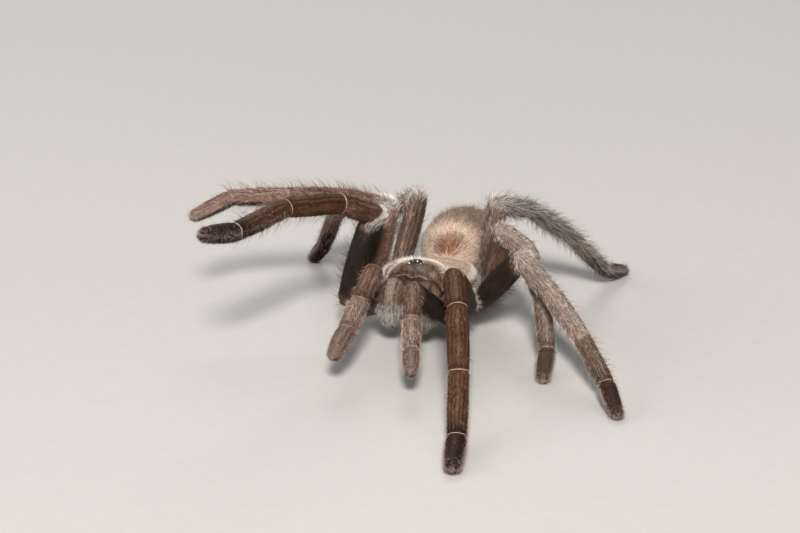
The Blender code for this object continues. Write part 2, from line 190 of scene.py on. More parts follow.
# Colours of the animal, as linear light.
UMBER = np.array([0.082, 0.035, 0.017])
BARE = np.array([0.020, 0.009, 0.006])
SHADED_GLOSS = np.array([0.0115, 0.0075, 0.0065])  # the bare, dark face of a femur, darker still as painted shade where the femur lies in shadow
FAWN = np.array([0.24, 0.135, 0.082])
TAUPE = np.array([0.30, 0.205, 0.158])
WARM = np.array([0.35, 0.19, 0.14])
FROST = np.array([0.64, 0.52, 0.45])
IVORY = np.array([0.70, 0.635, 0.58])
SOLE = np.array([0.020, 0.007, 0.004])
CREAM = np.array([0.66, 0.49, 0.385])
TAN = np.array([0.58, 0.37, 0.255])
RUFOUS = np.array([0.20, 0.075, 0.038])
GOLD = np.array([0.62, 0.30, 0.13])
RUSSET = np.array([0.26, 0.075, 0.05])
OLIVE = np.array([0.17, 0.125, 0.082])
SLATE = np.array([0.31, 0.35, 0.36])
SKIN_SHADE = 0.55  # the skin under the coat, as a share of the coat's colour


# ---------------------------------------------------------------- small helpers
def unit(v):
    """The vectors at length 1."""
    return v / np.maximum(np.linalg.norm(v, axis=-1, keepdims=True), 1e-9)


def bump(x, width):
    """A bell: 1 at x = 0, falling as exp(-(x / width) squared)."""
    return np.exp(-((x / width) ** 2))


def ramp(x, low, high):
    """Smooth step: 0 below low, 1 above high, 3t^2 - 2t^3 between."""
    t = np.clip((x - low) / (high - low), 0, 1)
    return t * t * (3 - 2 * t)


def mix(a, b, share):
    """Blend of colours a and b: a + (b - a) * share."""
    share = np.asarray(share, float)[..., None]
    return a + (b - a) * share


def layered(colours, *layers):
    """Colours with others laid over them in turn, each given as a colour and its share."""
    for colour, share in layers:
        colours = mix(colours, colour, share)
    return colours


def part_of(share):
    """A share kept between 0 and 1."""
    return np.clip(share, 0, 1)


def wobble(points, size, seed):
    """A soft random value about 0 at each point: a sum of nine sine waves of random heading, in mm."""
    source = np.random.default_rng(seed)
    total = 0
    for _ in range(9):
        wave = source.normal(size=3)
        wave *= source.uniform(0.6, 1.6) * 2 * math.pi / size / np.linalg.norm(wave)
        total = total + np.sin(points @ wave + source.uniform(0, 2 * math.pi))
    return total / 4.2


def circle(count):
    """Angles in equal steps round a full turn."""
    return 2 * math.pi * np.arange(count) / count


def spokes(turn, across, over):
    """Arms round a circle, at one place or at each of many: cos(turn) * across + sin(turn) * over."""
    return np.cos(turn)[:, None] * across[..., None, :] + np.sin(turn)[:, None] * over[..., None, :]


def smooth_profile(stations):
    """A curve through (place, value) pairs, by cubic pieces whose slopes never overshoot."""
    x, y = np.array(stations, float).T
    step = np.diff(y) / np.diff(x)
    slope = np.concatenate([[step[0]], (step[:-1] + step[1:]) / 2, [step[-1]]])
    slope[1:-1][step[:-1] * step[1:] <= 0] = 0

    def value(at):
        at = np.clip(at, x[0], x[-1])
        k = np.clip(np.searchsorted(x, at) - 1, 0, len(x) - 2)
        width = x[k + 1] - x[k]
        t = (at - x[k]) / width
        return (
            (2 * t**3 - 3 * t**2 + 1) * y[k]
            + (t**3 - 2 * t**2 + t) * width * slope[k]
            + (3 * t**2 - 2 * t**3) * y[k + 1]
            + (t**3 - t**2) * width * slope[k + 1]
        )

    return value


half_width = smooth_profile(CARAPACE_HALF_WIDTHS)
crown = smooth_profile(CARAPACE_HEIGHTS)


def to_world(points):
    """Body frame (side, ahead, up) to the standing animal: tipped head-up, then put in place."""
    points = np.asarray(points, float)
    side, ahead, up = points[..., 0], points[..., 1], points[..., 2]
    y = -(ahead * math.cos(BODY_PITCH) - up * math.sin(BODY_PITCH))
    z = ahead * math.sin(BODY_PITCH) + up * math.cos(BODY_PITCH)
    return np.stack([side, y, z], axis=-1) + BODY_PLACE


# ---------------------------------------------------------------- grids, skins and coats
def squares(rows, columns, wrap=(False, True), flip=False):
    """Corners of every square of a chart of points, which may wrap round along its rows or columns."""
    i, j = np.meshgrid(np.arange(rows - (not wrap[0])), np.arange(columns - (not wrap[1])), indexing="ij")
    i, j = i.ravel(), j.ravel()
    below, right = (i + 1) % rows * columns, (j + 1) % columns
    corners = [i * columns + j, below + j, below + right, i * columns + right]
    return np.stack(corners[:1] + corners[:0:-1] if flip else corners, axis=-1)


class Grid:
    """A closed tube of rings: points is rings x sides x 3 in mm, and fields are rings x sides values."""

    def __init__(self, points, grain=None, **fields):
        self.points = points
        self.grain = points * 0.6 if grain is None else grain
        self.fields = SimpleNamespace(**fields)
        ring_step = unit(np.gradient(points, axis=0))
        side_step = unit(np.roll(points, -1, axis=1) - np.roll(points, 1, axis=1))
        normal = unit(np.cross(ring_step, side_step))
        outward = points - points.mean(axis=1, keepdims=True)
        self.sign = 1.0 if np.sum(normal * outward) > 0 else -1.0
        self.normal = normal * self.sign
        self.along = ring_step


def body_grid(side, ahead, up, grain=None, /, **fields):
    """A grid of the body from its places in side, ahead and up, with its fields spread to every point."""
    places = np.broadcast_arrays(side, ahead, up)
    fields = {name: np.broadcast_to(value, places[0].shape) for name, value in fields.items()}
    return Grid(to_world(np.stack(places, axis=-1)), grain, **fields)


def hair_run(turn, width, along):
    """Coordinates that run with the hair: round a circle of the given width, and slowly along."""
    return np.stack([width * np.cos(turn), width * np.sin(turn), along], axis=-1)


def place(name, data):
    """Puts a mesh, lamp or camera in the scene as an object at the origin."""
    obj = bpy.data.objects.new(name, data)
    bpy.context.scene.collection.objects.link(obj)
    return obj


def new_object(name, points, loops, sizes, material):
    """A mesh object in metres from points (mm), flat corner list and corner counts."""
    mesh = bpy.data.meshes.new(name)
    mesh.vertices.add(len(points))
    mesh.vertices.foreach_set("co", (points * MM).astype(np.float32).ravel())
    mesh.loops.add(len(loops))
    mesh.loops.foreach_set("vertex_index", loops.astype(np.int32))
    mesh.polygons.add(len(sizes))
    starts = np.concatenate([[0], np.cumsum(sizes)[:-1]]).astype(np.int32)
    mesh.polygons.foreach_set("loop_start", starts)
    mesh.polygons.foreach_set("use_smooth", np.ones(len(sizes), bool))
    mesh.update(calc_edges=True)
    mesh.validate()
    mesh.materials.append(material)
    return place(name, mesh)


def paint(obj, colours):
    """Stores one colour at each vertex as the attribute markings."""
    layer = obj.data.attributes.new("markings", "FLOAT_COLOR", "POINT")
    rgba = np.concatenate([part_of(colours), np.ones((len(colours), 1))], axis=1)
    layer.data.foreach_set("color", rgba.astype(np.float32).ravel())


def with_ends(values):
    """A grid's values as one list, and after them the mean of its first and of its last ring."""
    return np.concatenate([values.reshape(-1, 3), values[[0, -1]].mean(axis=1)])


def closed_shell(grid):
    """Points, corners and corner counts of a grid closed by a fan onto the middle of each end ring."""
    rings, sides = grid.points.shape[:2]
    j = np.arange(sides)
    k = (j + 1) % sides
    first, last = rings * sides, rings * sides + 1
    near = np.stack([np.full(sides, first), j, k], axis=-1)
    far = np.stack([np.full(sides, last), (rings - 1) * sides + k, (rings - 1) * sides + j], axis=-1)
    if grid.sign < 0:
        near, far = near[:, ::-1], far[:, ::-1]
    quads = squares(rings, sides, flip=grid.sign < 0)
    loops = np.concatenate([quads.ravel(), near.ravel(), far.ravel()])
    return with_ends(grid.points), loops, np.concatenate([np.full(len(quads), 4), np.full(2 * sides, 3)])


def joined(shells):
    """Points, corners and corner counts of many shells as those of one."""
    points, loops, sizes = zip(*shells)
    starts = np.concatenate([[0], np.cumsum([len(p) for p in points])[:-1]])
    loops = [corners + start for corners, start in zip(loops, starts)]
    return np.concatenate(points), np.concatenate(loops), np.concatenate(sizes)


def settle(obj, slot, *nodes):
    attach(obj, "root")
    if nodes:
        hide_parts(*nodes)


def make_skin(name, parts, material, slot, *nodes):
    """All the flesh as one skin: the closed grids are joined, and a voxel remesh melts them together.

    The markings and the run of the hair are carried over, and the steps of the voxels are smoothed."""
    rough = new_object(f"{name}_parts", *joined([closed_shell(grid) for grid, _ in parts]), material)
    paint(rough, np.concatenate([with_ends(colours) for _, colours in parts]))
    apart = 17.0  # keeps the streaks of one part from lining up with the next part's
    runs = [with_ends(grid.grain + apart * n) for n, (grid, _) in enumerate(parts)]
    layer = rough.data.attributes.new("hair_run", "FLOAT_VECTOR", "POINT")
    layer.data.foreach_set("vector", np.concatenate(runs).astype(np.float32).ravel())
    rough.data.remesh_voxel_size = SKIN_VOXEL * MM
    rough.data.use_remesh_preserve_attributes = True
    with bpy.context.temp_override(object=rough, active_object=rough):
        bpy.ops.object.voxel_remesh()
    relax = rough.modifiers.new("relax", "SMOOTH")
    relax.factor, relax.iterations = 0.5, 3
    bpy.context.view_layer.update()
    graph = bpy.context.evaluated_depsgraph_get()
    done = rough.evaluated_get(graph)
    mesh = bpy.data.meshes.new_from_object(done, preserve_all_data_layers=True, depsgraph=graph)
    mesh.name = name
    mesh.shade_smooth()
    bpy.data.objects.remove(rough, do_unlink=True)
    settle(place(name, mesh), slot, *nodes)


FAINT = 1e-6  # added to a chance of hair that is 0 nearly everywhere


def pick_roots(grid, count, chance, source):
    """Roots over the grid: quads are drawn with likelihood area x chance, then a place inside each.

    Gives a function that reads any grid array at the roots by weighing the quad's four corners."""
    p = grid.points
    q = np.roll(p, -1, axis=1)
    area = np.linalg.norm(np.cross(p[1:] - p[:-1], q[:-1] - p[:-1]), axis=-1)
    c = np.broadcast_to(chance, p.shape[:2])
    heavy = area * (c[1:] + c[:-1]) / 2
    total = np.cumsum(heavy.ravel())
    drawn = np.minimum(np.searchsorted(total, source.uniform(0, total[-1], count)), heavy.size - 1)
    i, j = np.unravel_index(drawn, heavy.shape)
    a, b = source.uniform(0, 1, (2, count))
    k = (j + 1) % p.shape[1]

    def read(values):
        values = np.broadcast_to(values, p.shape[:2]) if np.ndim(values) < 3 else values
        wa, wb = (a[:, None], b[:, None]) if values.ndim == 3 else (a, b)
        return (
            (1 - wa) * (1 - wb) * values[i, j] + wa * (1 - wb) * values[i + 1, j]
            + (1 - wa) * wb * values[i, k] + wa * wb * values[i + 1, k]
        )

    chart = np.stack([(i + a) / (p.shape[0] - 1), (j + b) / p.shape[1]], axis=-1)
    return read, chart


HAIRS = []  # every strew adds one batch; make_coat joins them
ROOT_DEPTH = 0.05  # a hair starts this far under the skin
ROOT_SHADE = 0.62  # and is this dark there
MAP_MARGIN, MAP_PATCH = 0.004, 0.0015  # the free edge of the OFBake map, and half of one hair's patch
# A straight and a curved hair: faces, shade of each corner but the tip, and where each corner is on the map.
STRAIGHT_HAIR = (
    np.array([[2, 1, 0], [0, 1, 3], [1, 2, 3], [2, 0, 3]]),
    [ROOT_SHADE] * 3,
    np.array([[-1, -1], [-1, 0.2], [-1, 1], [1, 0]]),
)
CURVED_HAIR = (
    np.array([[2, 1, 0], [0, 1, 4], [0, 4, 3], [1, 2, 5], [1, 5, 4], [2, 0, 3], [2, 3, 5],
              [3, 4, 6], [4, 5, 6], [5, 3, 6]]),
    [ROOT_SHADE] * 3 + [1.0] * 3,
    np.array([[-1, -1], [-1, 0], [-1, 1], [0, -1], [0, 0.2], [0, 1], [1, 0]]),
)


def strew(grid, count, colours, length, lift, girth=0.042, chance=1.0, lie=None, curved=False,
          droop=0.4, spread=0.16, vary=0.16, seed=1, tip_shade=1.2, cell=(0, 0, 1, 1),
          other=None, other_share=0.0):
    """Hairs rooted on a grid, each a closed three-sided spike from just under the skin.

    A hair leans from the surface: heading = cos(lift) * lie + sin(lift) * normal, with a random
    part of size spread. A straight one is a base triangle and a tip; a curved one has a ring half way
    and turns on by droop towards the lie. A share of the hairs, other_share, has the colour other."""
    source = np.random.default_rng(seed)
    count = int(count)
    if not count:
        return
    read, chart = pick_roots(grid, count, chance, source)
    root, normal = read(grid.points), unit(read(grid.normal))
    flow = unit(read(grid.along if lie is None else lie))
    flow = unit(flow - normal * np.sum(flow * normal, axis=-1, keepdims=True))
    lean = np.radians(read(lift) * source.uniform(0.75, 1.25, count))[:, None]
    long = (read(length) * source.uniform(0.72, 1.22, count))[:, None]
    head = unit(np.cos(lean) * flow + np.sin(lean) * normal + source.normal(0, spread, (count, 3)))
    across = unit(np.cross(head, normal + 0.01))
    upward = np.cross(head, across)
    fat = (read(girth) * source.uniform(0.8, 1.2, count))[:, None]
    start = (root - ROOT_DEPTH * normal)[:, None]
    foot = start + fat[:, None] * spokes(circle(3), across, upward)
    tone = read(np.broadcast_to(colours, grid.points.shape))
    if other is not None:
        swap = source.uniform(0, 1, count) < read(other_share)
        tone = np.where(swap[:, None], other, tone)
    tone = tone * np.exp(source.normal(0, vary, (count, 1)))
    if curved:
        middle = root + 0.52 * long * head
        bend = unit(head + droop * (flow - head))
        rest = [middle[:, None] + 0.6 * (foot - start), (middle + 0.48 * long * bend)[:, None]]
    else:
        rest = [(root + long * head)[:, None]]
    points = np.concatenate([foot, *rest], axis=1)
    points[..., 2] = np.maximum(points[..., 2], HAIR_GAP)
    faces, shades, patch = CURVED_HAIR if curved else STRAIGHT_HAIR
    tint = tone[:, None] * np.array([*shades, tip_shade])[None, :, None]
    low, high = np.array(cell[:2]), np.array(cell[2:])
    places = low + MAP_MARGIN + (high - low - 2 * MAP_MARGIN) * chart[:, None] + MAP_PATCH * patch[None]
    index = (np.arange(count) * points.shape[1])[:, None, None] + faces[None]
    shell = points.reshape(-1, 3), index.ravel(), np.full(count * len(faces), 3)
    HAIRS.append((shell, tint.reshape(-1, 3), places.reshape(-1, 2)))


def make_coat(name, material, slot):
    """Joins the strewn hairs into one mesh with its markings and its OFBake map."""
    shells, tints, places = zip(*HAIRS)
    HAIRS.clear()
    points, loops, sizes = joined(shells)
    obj = new_object(name, points, loops, sizes, material)
    paint(obj, np.concatenate(tints))
    chart = obj.data.uv_layers.new(name="OFBake")
    chart.uv.foreach_set("vector", part_of(np.concatenate(places)[loops]).astype(np.float32).ravel())
    settle(obj, slot)


# ---------------------------------------------------------------- finishes
def tint_group(name, inputs):
    """An empty shared effect that takes the named inputs and puts out a colour and a height for bump."""
    group = bpy.data.node_groups.new(name, "ShaderNodeTree")
    for label, kind, value in inputs:
        socket = group.interface.new_socket(label, in_out="INPUT", socket_type=f"NodeSocket{kind}")
        if value is not None:
            socket.default_value = value
    group.interface.new_socket("Colour", in_out="OUTPUT", socket_type="NodeSocketColor")
    group.interface.new_socket("Height", in_out="OUTPUT", socket_type="NodeSocketFloat")
    given, out = group.nodes.new("NodeGroupInput"), group.nodes.new("NodeGroupOutput")
    return group, given.outputs, out.inputs


def shade_by_noise(group, detail, space, scale, low, high, colour):
    """The colour times a factor that noise swings from low to high, and the noise itself."""
    nodes, link = group.nodes, group.links.new
    noise, swing = nodes.new("ShaderNodeTexNoise"), nodes.new("ShaderNodeMapRange")
    noise.inputs["Detail"].default_value = detail
    link(space, noise.inputs["Vector"])
    link(scale, noise.inputs["Scale"])
    swing.inputs["From Min"].default_value, swing.inputs["From Max"].default_value = 0.3, 0.7
    link(noise.outputs["Fac"], swing.inputs["Value"])
    link(low, swing.inputs["To Min"])
    link(high, swing.inputs["To Max"])
    shaded = nodes.new("ShaderNodeVectorMath")
    shaded.operation = "SCALE"
    link(colour, shaded.inputs[0])
    link(swing.outputs[0], shaded.inputs["Scale"])
    return shaded.outputs[0], noise.outputs["Fac"]


def coat_tint():
    """Shared effect: markings times soft patches and fine grain, each from 1 - share to 1 + share."""
    group, given, out = tint_group("coat_tint", (
        ("Markings", "Color", None), ("Patch Scale", "Float", 260.0), ("Grain Scale", "Float", 2600.0),
        ("Patch Share", "Float", 0.2), ("Grain Share", "Float", 0.2),
    ))
    space, colour = group.nodes.new("ShaderNodeTexCoord").outputs["Object"], given["Markings"]
    for label in ("Patch", "Grain"):
        ends = []
        for operation in ("SUBTRACT", "ADD"):
            end = group.nodes.new("ShaderNodeMath")
            end.operation = operation
            end.inputs[0].default_value = 1.0
            group.links.new(given[f"{label} Share"], end.inputs[1])
            ends.append(end.outputs[0])
        colour, height = shade_by_noise(group, 2.0, space, given[f"{label} Scale"], *ends, colour)
    group.links.new(colour, out["Colour"])
    group.links.new(height, out["Height"])
    return group


def lengthwise_streaks():
    """Shared effect: fine lengthwise lines from noise on the run of the hair, as a shade and a height."""
    group, given, out = tint_group("lengthwise_streaks", (
        ("Colour", "Color", None), ("Run", "Vector", None), ("Fineness", "Float", 5.0),
        ("Dark", "Float", 0.5), ("Light", "Float", 1.5),
    ))
    ends = given["Dark"], given["Light"], given["Colour"]
    colour, height = shade_by_noise(group, 3.0, given["Run"], given["Fineness"], *ends)
    group.links.new(colour, out["Colour"])
    group.links.new(height, out["Height"])
    return group


TINT = coat_tint()
STREAKS = lengthwise_streaks()


def finish_of(name, roughness, patch_scale, grain_scale, patch_share, grain_share, specular=0.4, sheen=0.0,
              bump_depth=0.0, plain=None, streaked=False, **others):
    """A finish whose colour is the painted markings, or one plain base, run through coat_tint.

    A streaked one has fine lines along the hair as well. Others sets more of the shader's own values."""
    made = bpy.data.materials.new(name)
    made.use_nodes = True
    nodes, link = made.node_tree.nodes, made.node_tree.links.new
    shader = nodes["Principled BSDF"]
    tint = nodes.new("ShaderNodeGroup")
    tint.node_tree = TINT
    if plain is None:
        marks = nodes.new("ShaderNodeAttribute")
        marks.attribute_name = "markings"
        link(marks.outputs["Color"], tint.inputs["Markings"])
    else:
        tint.inputs["Markings"].default_value = (*plain, 1)
    for label, value in (("Patch Scale", patch_scale), ("Grain Scale", grain_scale),
                         ("Patch Share", patch_share), ("Grain Share", grain_share)):
        tint.inputs[label].default_value = value
    colour, height = tint.outputs["Colour"], tint.outputs["Height"]
    if streaked:
        run, streaks = nodes.new("ShaderNodeAttribute"), nodes.new("ShaderNodeGroup")
        run.attribute_name = "hair_run"
        streaks.node_tree = STREAKS
        link(run.outputs["Vector"], streaks.inputs["Run"])
        link(colour, streaks.inputs["Colour"])
        colour, height = streaks.outputs["Colour"], streaks.outputs["Height"]
    link(colour, shader.inputs["Base Color"])
    if sheen:
        others |= {"Sheen Weight": sheen, "Sheen Tint": (1.0, 0.86, 0.72, 1.0), "Sheen Roughness": 0.4}
    for label, value in {"Roughness": roughness, "Specular IOR Level": specular, **others}.items():
        shader.inputs[label].default_value = value
    if bump_depth:
        rise = nodes.new("ShaderNodeBump")
        rise.inputs["Strength"].default_value = 0.7
        rise.inputs["Distance"].default_value = bump_depth
        link(height, rise.inputs["Height"])
        link(rise.outputs["Normal"], shader.inputs["Normal"])
    return made


LEG_COAT = finish_of("leg_coat", 0.68, 220, 2200, 0.15, 0.18, 0.09)
BODY_COAT = finish_of("body_coat", 0.6, 260, 2600, 0.12, 0.15, 0.2, sheen=0.2)
VELVET = finish_of("abdomen_velvet", 0.65, 260, 2600, 0.12, 0.15, 0.16, sheen=0.56)
CUTICLE = finish_of("skin", 0.55, 400, 5200, 0.15, 0.2, 0.14, bump_depth=0.00008, streaked=True)
HORN = finish_of("horn", 0.16, 500, 1500, 0.3, 0.1, 0.6, bump_depth=0.00001, plain=(0.018, 0.008, 0.005))
CLAW = finish_of("claw", 0.3, 900, 3000, 0.3, 0.2, bump_depth=0.00001, plain=(0.022, 0.012, 0.009))
RIM = finish_of("joint_rim", 0.42, 900, 4200, 0.35, 0.25, bump_depth=0.00003, plain=(0.36, 0.25, 0.18))
WET = {"Coat Weight": 1.0, "Coat IOR": 2.4, "IOR": 2.2}
EYE = finish_of("eye", 0.1, 2500, 6000, 0.4, 0.2, 1.0, plain=(0.012, 0.010, 0.012), **WET)


# ---------------------------------------------------------------- legs and palps
def side_of(hand):
    """Which way is outwards: 1 on the left, -1 on the right."""
    return 1 if hand == "left" else -1


def coat_of(kind, hand):
    """The coat of one leg or palp, with plain values for what COATS leaves out."""
    return SimpleNamespace(**(PLAIN_COAT | COATS[kind, hand]))


def bearing(heading, lift, side):
    """Unit vector from a heading, measured from -Y towards the animal's own side, and an elevation."""
    h, e = math.radians(heading), math.radians(lift)
    return np.array([side * math.sin(h) * math.cos(e), -math.cos(h) * math.cos(e), math.sin(e)])


def level_of(heading, side):
    """The level unit vector square to a heading."""
    h = math.radians(heading)
    return np.array([math.cos(h), side * math.sin(h), 0.0])


def leg_radii(kind):
    """Radii at the joints from root to toe, and the swells between them."""
    radii, swells = (PALP_JOINT_RADII, PALP_SWELL) if kind == "palp" else (LEG_JOINT_RADII, LEG_SWELL)
    return [LEG_GIRTH[kind] * r for r in radii], [LEG_GIRTH[kind] * w for w in swells]


def leg_joints(kind, hand):
    """Joint centres from the root to the toe, and each segment's axis and heading.

    A leg that stands has the segments past its patella tipped together until the toe is down."""
    side = side_of(hand)
    pose, lengths = POSES[kind, hand], SEGMENT_LENGTHS[kind]
    turns = [0] + [pose["knee_turn"] + i * pose["curl"] for i in range(len(lengths) - 1)]
    headings = [pose["heading"] + turn for turn in turns]
    swing = ROOT_SWINGS.get((kind, hand), (0.0, 0.0, 0.0))
    start = to_world((np.array(LEG_ROOTS[kind]) + swing) * [side, 1, 1])
    sole = leg_radii(kind)[0][-1] - SOLE_DEPTH

    def lay(tip):
        lifts = [e if i < PATELLA else e - tip for i, e in enumerate(pose["lifts"])]
        axes = [bearing(h, e, side) for h, e in zip(headings, lifts)]
        steps = [length * axis for length, axis in zip(lengths, axes)]
        return np.vstack([start, start + np.cumsum(steps, axis=0)]), axes

    low, high = -60.0, 60.0
    while (kind, hand) not in RAISED and high - low > 1e-6:
        tip = (low + high) / 2
        low, high = (tip, high) if lay(tip)[0][-1][2] > sole else (low, tip)
    joints, axes = lay((low + high) / 2)
    return joints, axes, headings


RIMS = []  # the last ring before each joint, the carapace's front ring, and how thick each one's rim is


def leg_grid(kind, hand):
    """A leg from inside the sternum to the toe as one tube of rings.

    Ring at t of a segment: start + axis * (near + (far - near) t) + r(t) * spoke, where near and far
    lie on the planes that halve the joints' angles, r(t) = straight taper + swell * sin(pi t) - coat,
    pinched by a bell at each joint. t runs slowly near the joints. The toe closes on a quarter circle and
    is flattened where it meets the floor."""
    side, last, look = side_of(hand), TARSUS[kind], coat_of(kind, hand)
    coat = 0.13 + 0.17 * look.shag + look.slim
    joints, axes, headings = leg_joints(kind, hand)
    radii, swells = leg_radii(kind)
    stub = to_world(COXA_STARTS[kind] * np.array([side, 1, 1]))
    first = unit(joints[0] - stub)
    joints, axes = np.vstack([stub, joints]), [first, *axes]
    radii, swells = [radii[0], *radii], [0.1, *swells]
    levels = [unit(np.cross([0, 0, 1.0], first))] + [level_of(h, side) for h in headings]
    normals = [first] + [unit(a + b) for a, b in zip(axes, axes[1:])] + [axes[-1]]
    overhang = JOINT_OVERHANG[(kind, hand) in REACHING]
    for k in range(PATELLA + 1, last + 1):
        normals[k] = unit(normals[k] - overhang * np.cross(axes[k], levels[k]))
    angle = circle(LEG_SIDES)
    rings, facts, previous = [], [], None
    for i in range(last + 1):
        tall = FEMUR_TALLNESS if i == FEMUR else 1.0
        over = np.cross(axes[i], levels[i])
        spoke = spokes(angle, levels[i], tall * over)
        length = np.linalg.norm(joints[i + 1] - joints[i])
        count = max(int(length / RING_SPACING), 12)
        t = np.arange(count + 1) / count
        t = 0.4 * t + 0.3 * (1 - np.cos(math.pi * t))
        near = -(radii[i] - coat) * (spoke @ normals[i]) / (axes[i] @ normals[i])
        far = length - (radii[i + 1] - coat) * (spoke @ normals[i + 1]) / (axes[i] @ normals[i + 1])
        near = np.maximum(near, -KNEE_CUT * (radii[i] - coat))
        far = np.minimum(far, length + KNEE_CUT * (radii[i + 1] - coat))
        if i == last:
            far = np.full(LEG_SIDES, length)
        radius = radii[i] + (radii[i + 1] - radii[i]) * t + swells[i] * np.sin(math.pi * t) - coat
        pinch = bump(t * length, 0.3) * (i > FEMUR) + bump((1 - t) * length, 0.3) * (FEMUR <= i < last)
        radius = radius - JOINT_PINCH * pinch
        reach = near + (far - near) * t[:, None]
        these = joints[i] + reach[..., None] * axes[i] + radius[:, None, None] * spoke
        if previous is not None:
            seam = (previous + these[0]) / 2
            shift, back = seam - these[0], seam - previous
            for k, share in enumerate(SEAM_SHARES):
                these[k] += share * shift
                if k:
                    rings[-1][-k] += share * back
            if i > FEMUR:
                RIMS.append((rings[-1][-1].copy(), 1 - 0.65 * look.shag))
        previous = these[-1]
        keep = these if i == last else these[:-1]
        rings.append(keep)
        facts += [(i, t[k], t[k] * length, (1 - t[k]) * length) for k in range(len(keep))]
    tip = radii[-1] - coat
    for k in range(1, TOE_RINGS + 1):
        bend = math.radians(TOE_TURN) * k / TOE_RINGS
        ring = joints[-1] + axes[-1] * tip * math.sin(bend) + tip * math.cos(bend) * spoke
        rings.append(ring[None])
        facts.append((last, 1.0, length + tip * math.sin(bend), 0.0))
    points = np.concatenate(rings)
    points[..., 2] = np.maximum(points[..., 2], SKIN_GAP)
    segment, along, past, left = (np.repeat(np.array(f)[:, None], LEG_SIDES, axis=1) for f in zip(*facts))
    around = np.broadcast_to(angle, segment.shape)
    run = hair_run(around, 1.6, 0.3 * past + 3.1 * segment)
    return Grid(points, run, segment=segment.astype(int), t=along, past=past, left=left, around=around)


def joint_rims():
    """The pale rims of the joints: a flattened tube round each kept ring, thinner below the leg."""
    turn, tubes = circle(8), []
    for ring, weight in RIMS:
        onward = unit(np.roll(ring, -1, axis=0) - np.roll(ring, 1, axis=0))
        outward = ring - ring.mean(axis=0)
        outward = unit(outward - onward * np.sum(outward * onward, axis=-1, keepdims=True))
        across = np.cross(onward, outward)
        top = np.sin(circle(len(ring)))
        thick = weight * (0.03 + 0.045 * ramp(top, -0.6, 0.3) * (1 + 0.6 * wobble(ring, 1.2, 6)))
        tube = ring[:, None] + thick[:, None, None] * spokes(turn, 0.8 * outward, across)
        tube += 0.02 * outward[:, None]
        tube[..., 2] = np.maximum(tube[..., 2], HAIR_GAP)
        quads = squares(len(ring), len(turn), (True, True), flip=True)
        tubes.append((tube.reshape(-1, 3), quads.ravel(), np.full(len(quads), 4)))
    settle(new_object("joint_rims", *joined(tubes), RIM), "leg_coat")


def long_lines(grid):
    """Shares of dark and of pale lengthwise line: bells at set angles from the top that wander a little."""
    f = grid.fields
    off = np.abs(np.degrees(f.around) - 90 + 3 * np.sin(1.1 * f.past + 2.3 * f.segment))
    off = np.minimum(off, 360 - off)
    inside = (f.segment >= FEMUR) * (f.segment <= 4) * ramp(f.past, 0.2, 1.0) * ramp(f.left, 0.4, 1.3)
    dark = 0.8 * bump(off - 16, 5) + bump(off - 35, 7) + 0.8 * bump(off - 64, 10)
    pale = bump(off, 8) + bump(off - 25, 4.5) + 0.7 * bump(off - 49, 6)
    return inside * part_of(dark), inside * part_of(pale)


def bare_and_shaded_face(kind, hand, grid):
    """Share of dark femur: its front face, partly real bare cuticle and partly painted shade, and painted
    shade below it, away from both ends.
    """
    f = grid.fields
    front = np.cos(f.around) * -side_of(hand)
    start = -1.6 if kind == "palp" else -0.15
    share = np.maximum(ramp(front, start, start + 0.5), ramp(-np.sin(f.around), -0.1, 0.4))
    share = coat_of(kind, hand).bare * (f.segment == FEMUR) * share
    return share * ramp(f.past, 0.6, 2.0) * ramp(f.left, 0.5, 1.8)


def white_knee(kind, hand, grid, ragged=1.0):
    """Share of white hair about the knee: a bell at the femur's end and one at the patella's start."""
    f, (above, below) = grid.fields, coat_of(kind, hand).white
    return above * (f.segment == FEMUR) * bump(f.left, 1.25 * ragged) + (
        below * (f.segment == PATELLA) * bump(f.past, 1.2 * ragged))


def leg_markings(kind, hand, grid):
    """Brown hair with dark and pale lengthwise lines, greyer on some segments, and a dark sole."""
    f, p, look = grid.fields, grid.points, coat_of(kind, hand)
    grey = np.array(look.grey, float)[f.segment]
    top, last = np.sin(f.around), TARSUS[kind]
    streak = wobble(grid.grain * [1, 1, 0.6], 0.9, 5)
    dark, pale = long_lines(grid)
    greyed = part_of(grey + (0.05 + 0.15 * grey) * streak + 0.08 * wobble(p, 6, 3))
    shade = mix(UMBER, mix(TAUPE, WARM, look.warm), greyed) * np.exp(0.16 * streak)[..., None]
    foot, shin = f.segment == last, f.segment == last - 1
    dark_foot = (1 - grey) * foot + (1 - grey) * shin * ramp(f.t, 0.6, 1.0)
    jointed = (f.segment > FEMUR) * (f.segment < last)
    shade = layered(
        shade,
        (FROST, 0.55 * (1 - 0.7 * look.warm) * grey**1.5 * ramp(top, -0.3, 0.7)),
        (mix(FAWN, FROST, grey), part_of(0.52 - 0.07 * grey + 0.1 * streak) * pale),
        (mix(BARE, UMBER, 0.9 * grey), (0.7 - 0.1 * grey) * dark),
        (SOLE, 0.85 * dark_foot),
        (BARE, 0.7 * jointed * bump(f.left - 0.75, 0.3) * (1 - 0.7 * grey) * ramp(top, -0.4, 0.3)),
    )
    ragged = 1 + 0.35 * wobble(p, 1.2, 9)
    pad = foot + shin * ramp(f.t, 0.25, 0.6) * (kind != "palp")
    return layered(
        shade,
        (shade * look.tone, (f.segment > FEMUR) * 1.0),
        # painted shade: the femur's front face and underside are laid near black where the femur lies in
        # shadow, over its real bare face
        (SHADED_GLOSS, bare_and_shaded_face(kind, hand, grid)),
        (IVORY, part_of(white_knee(kind, hand, grid, ragged) * ramp(top, -0.9, -0.1))),
        (SOLE, part_of(pad * ramp(-top, 0.15, 0.55))),
    )


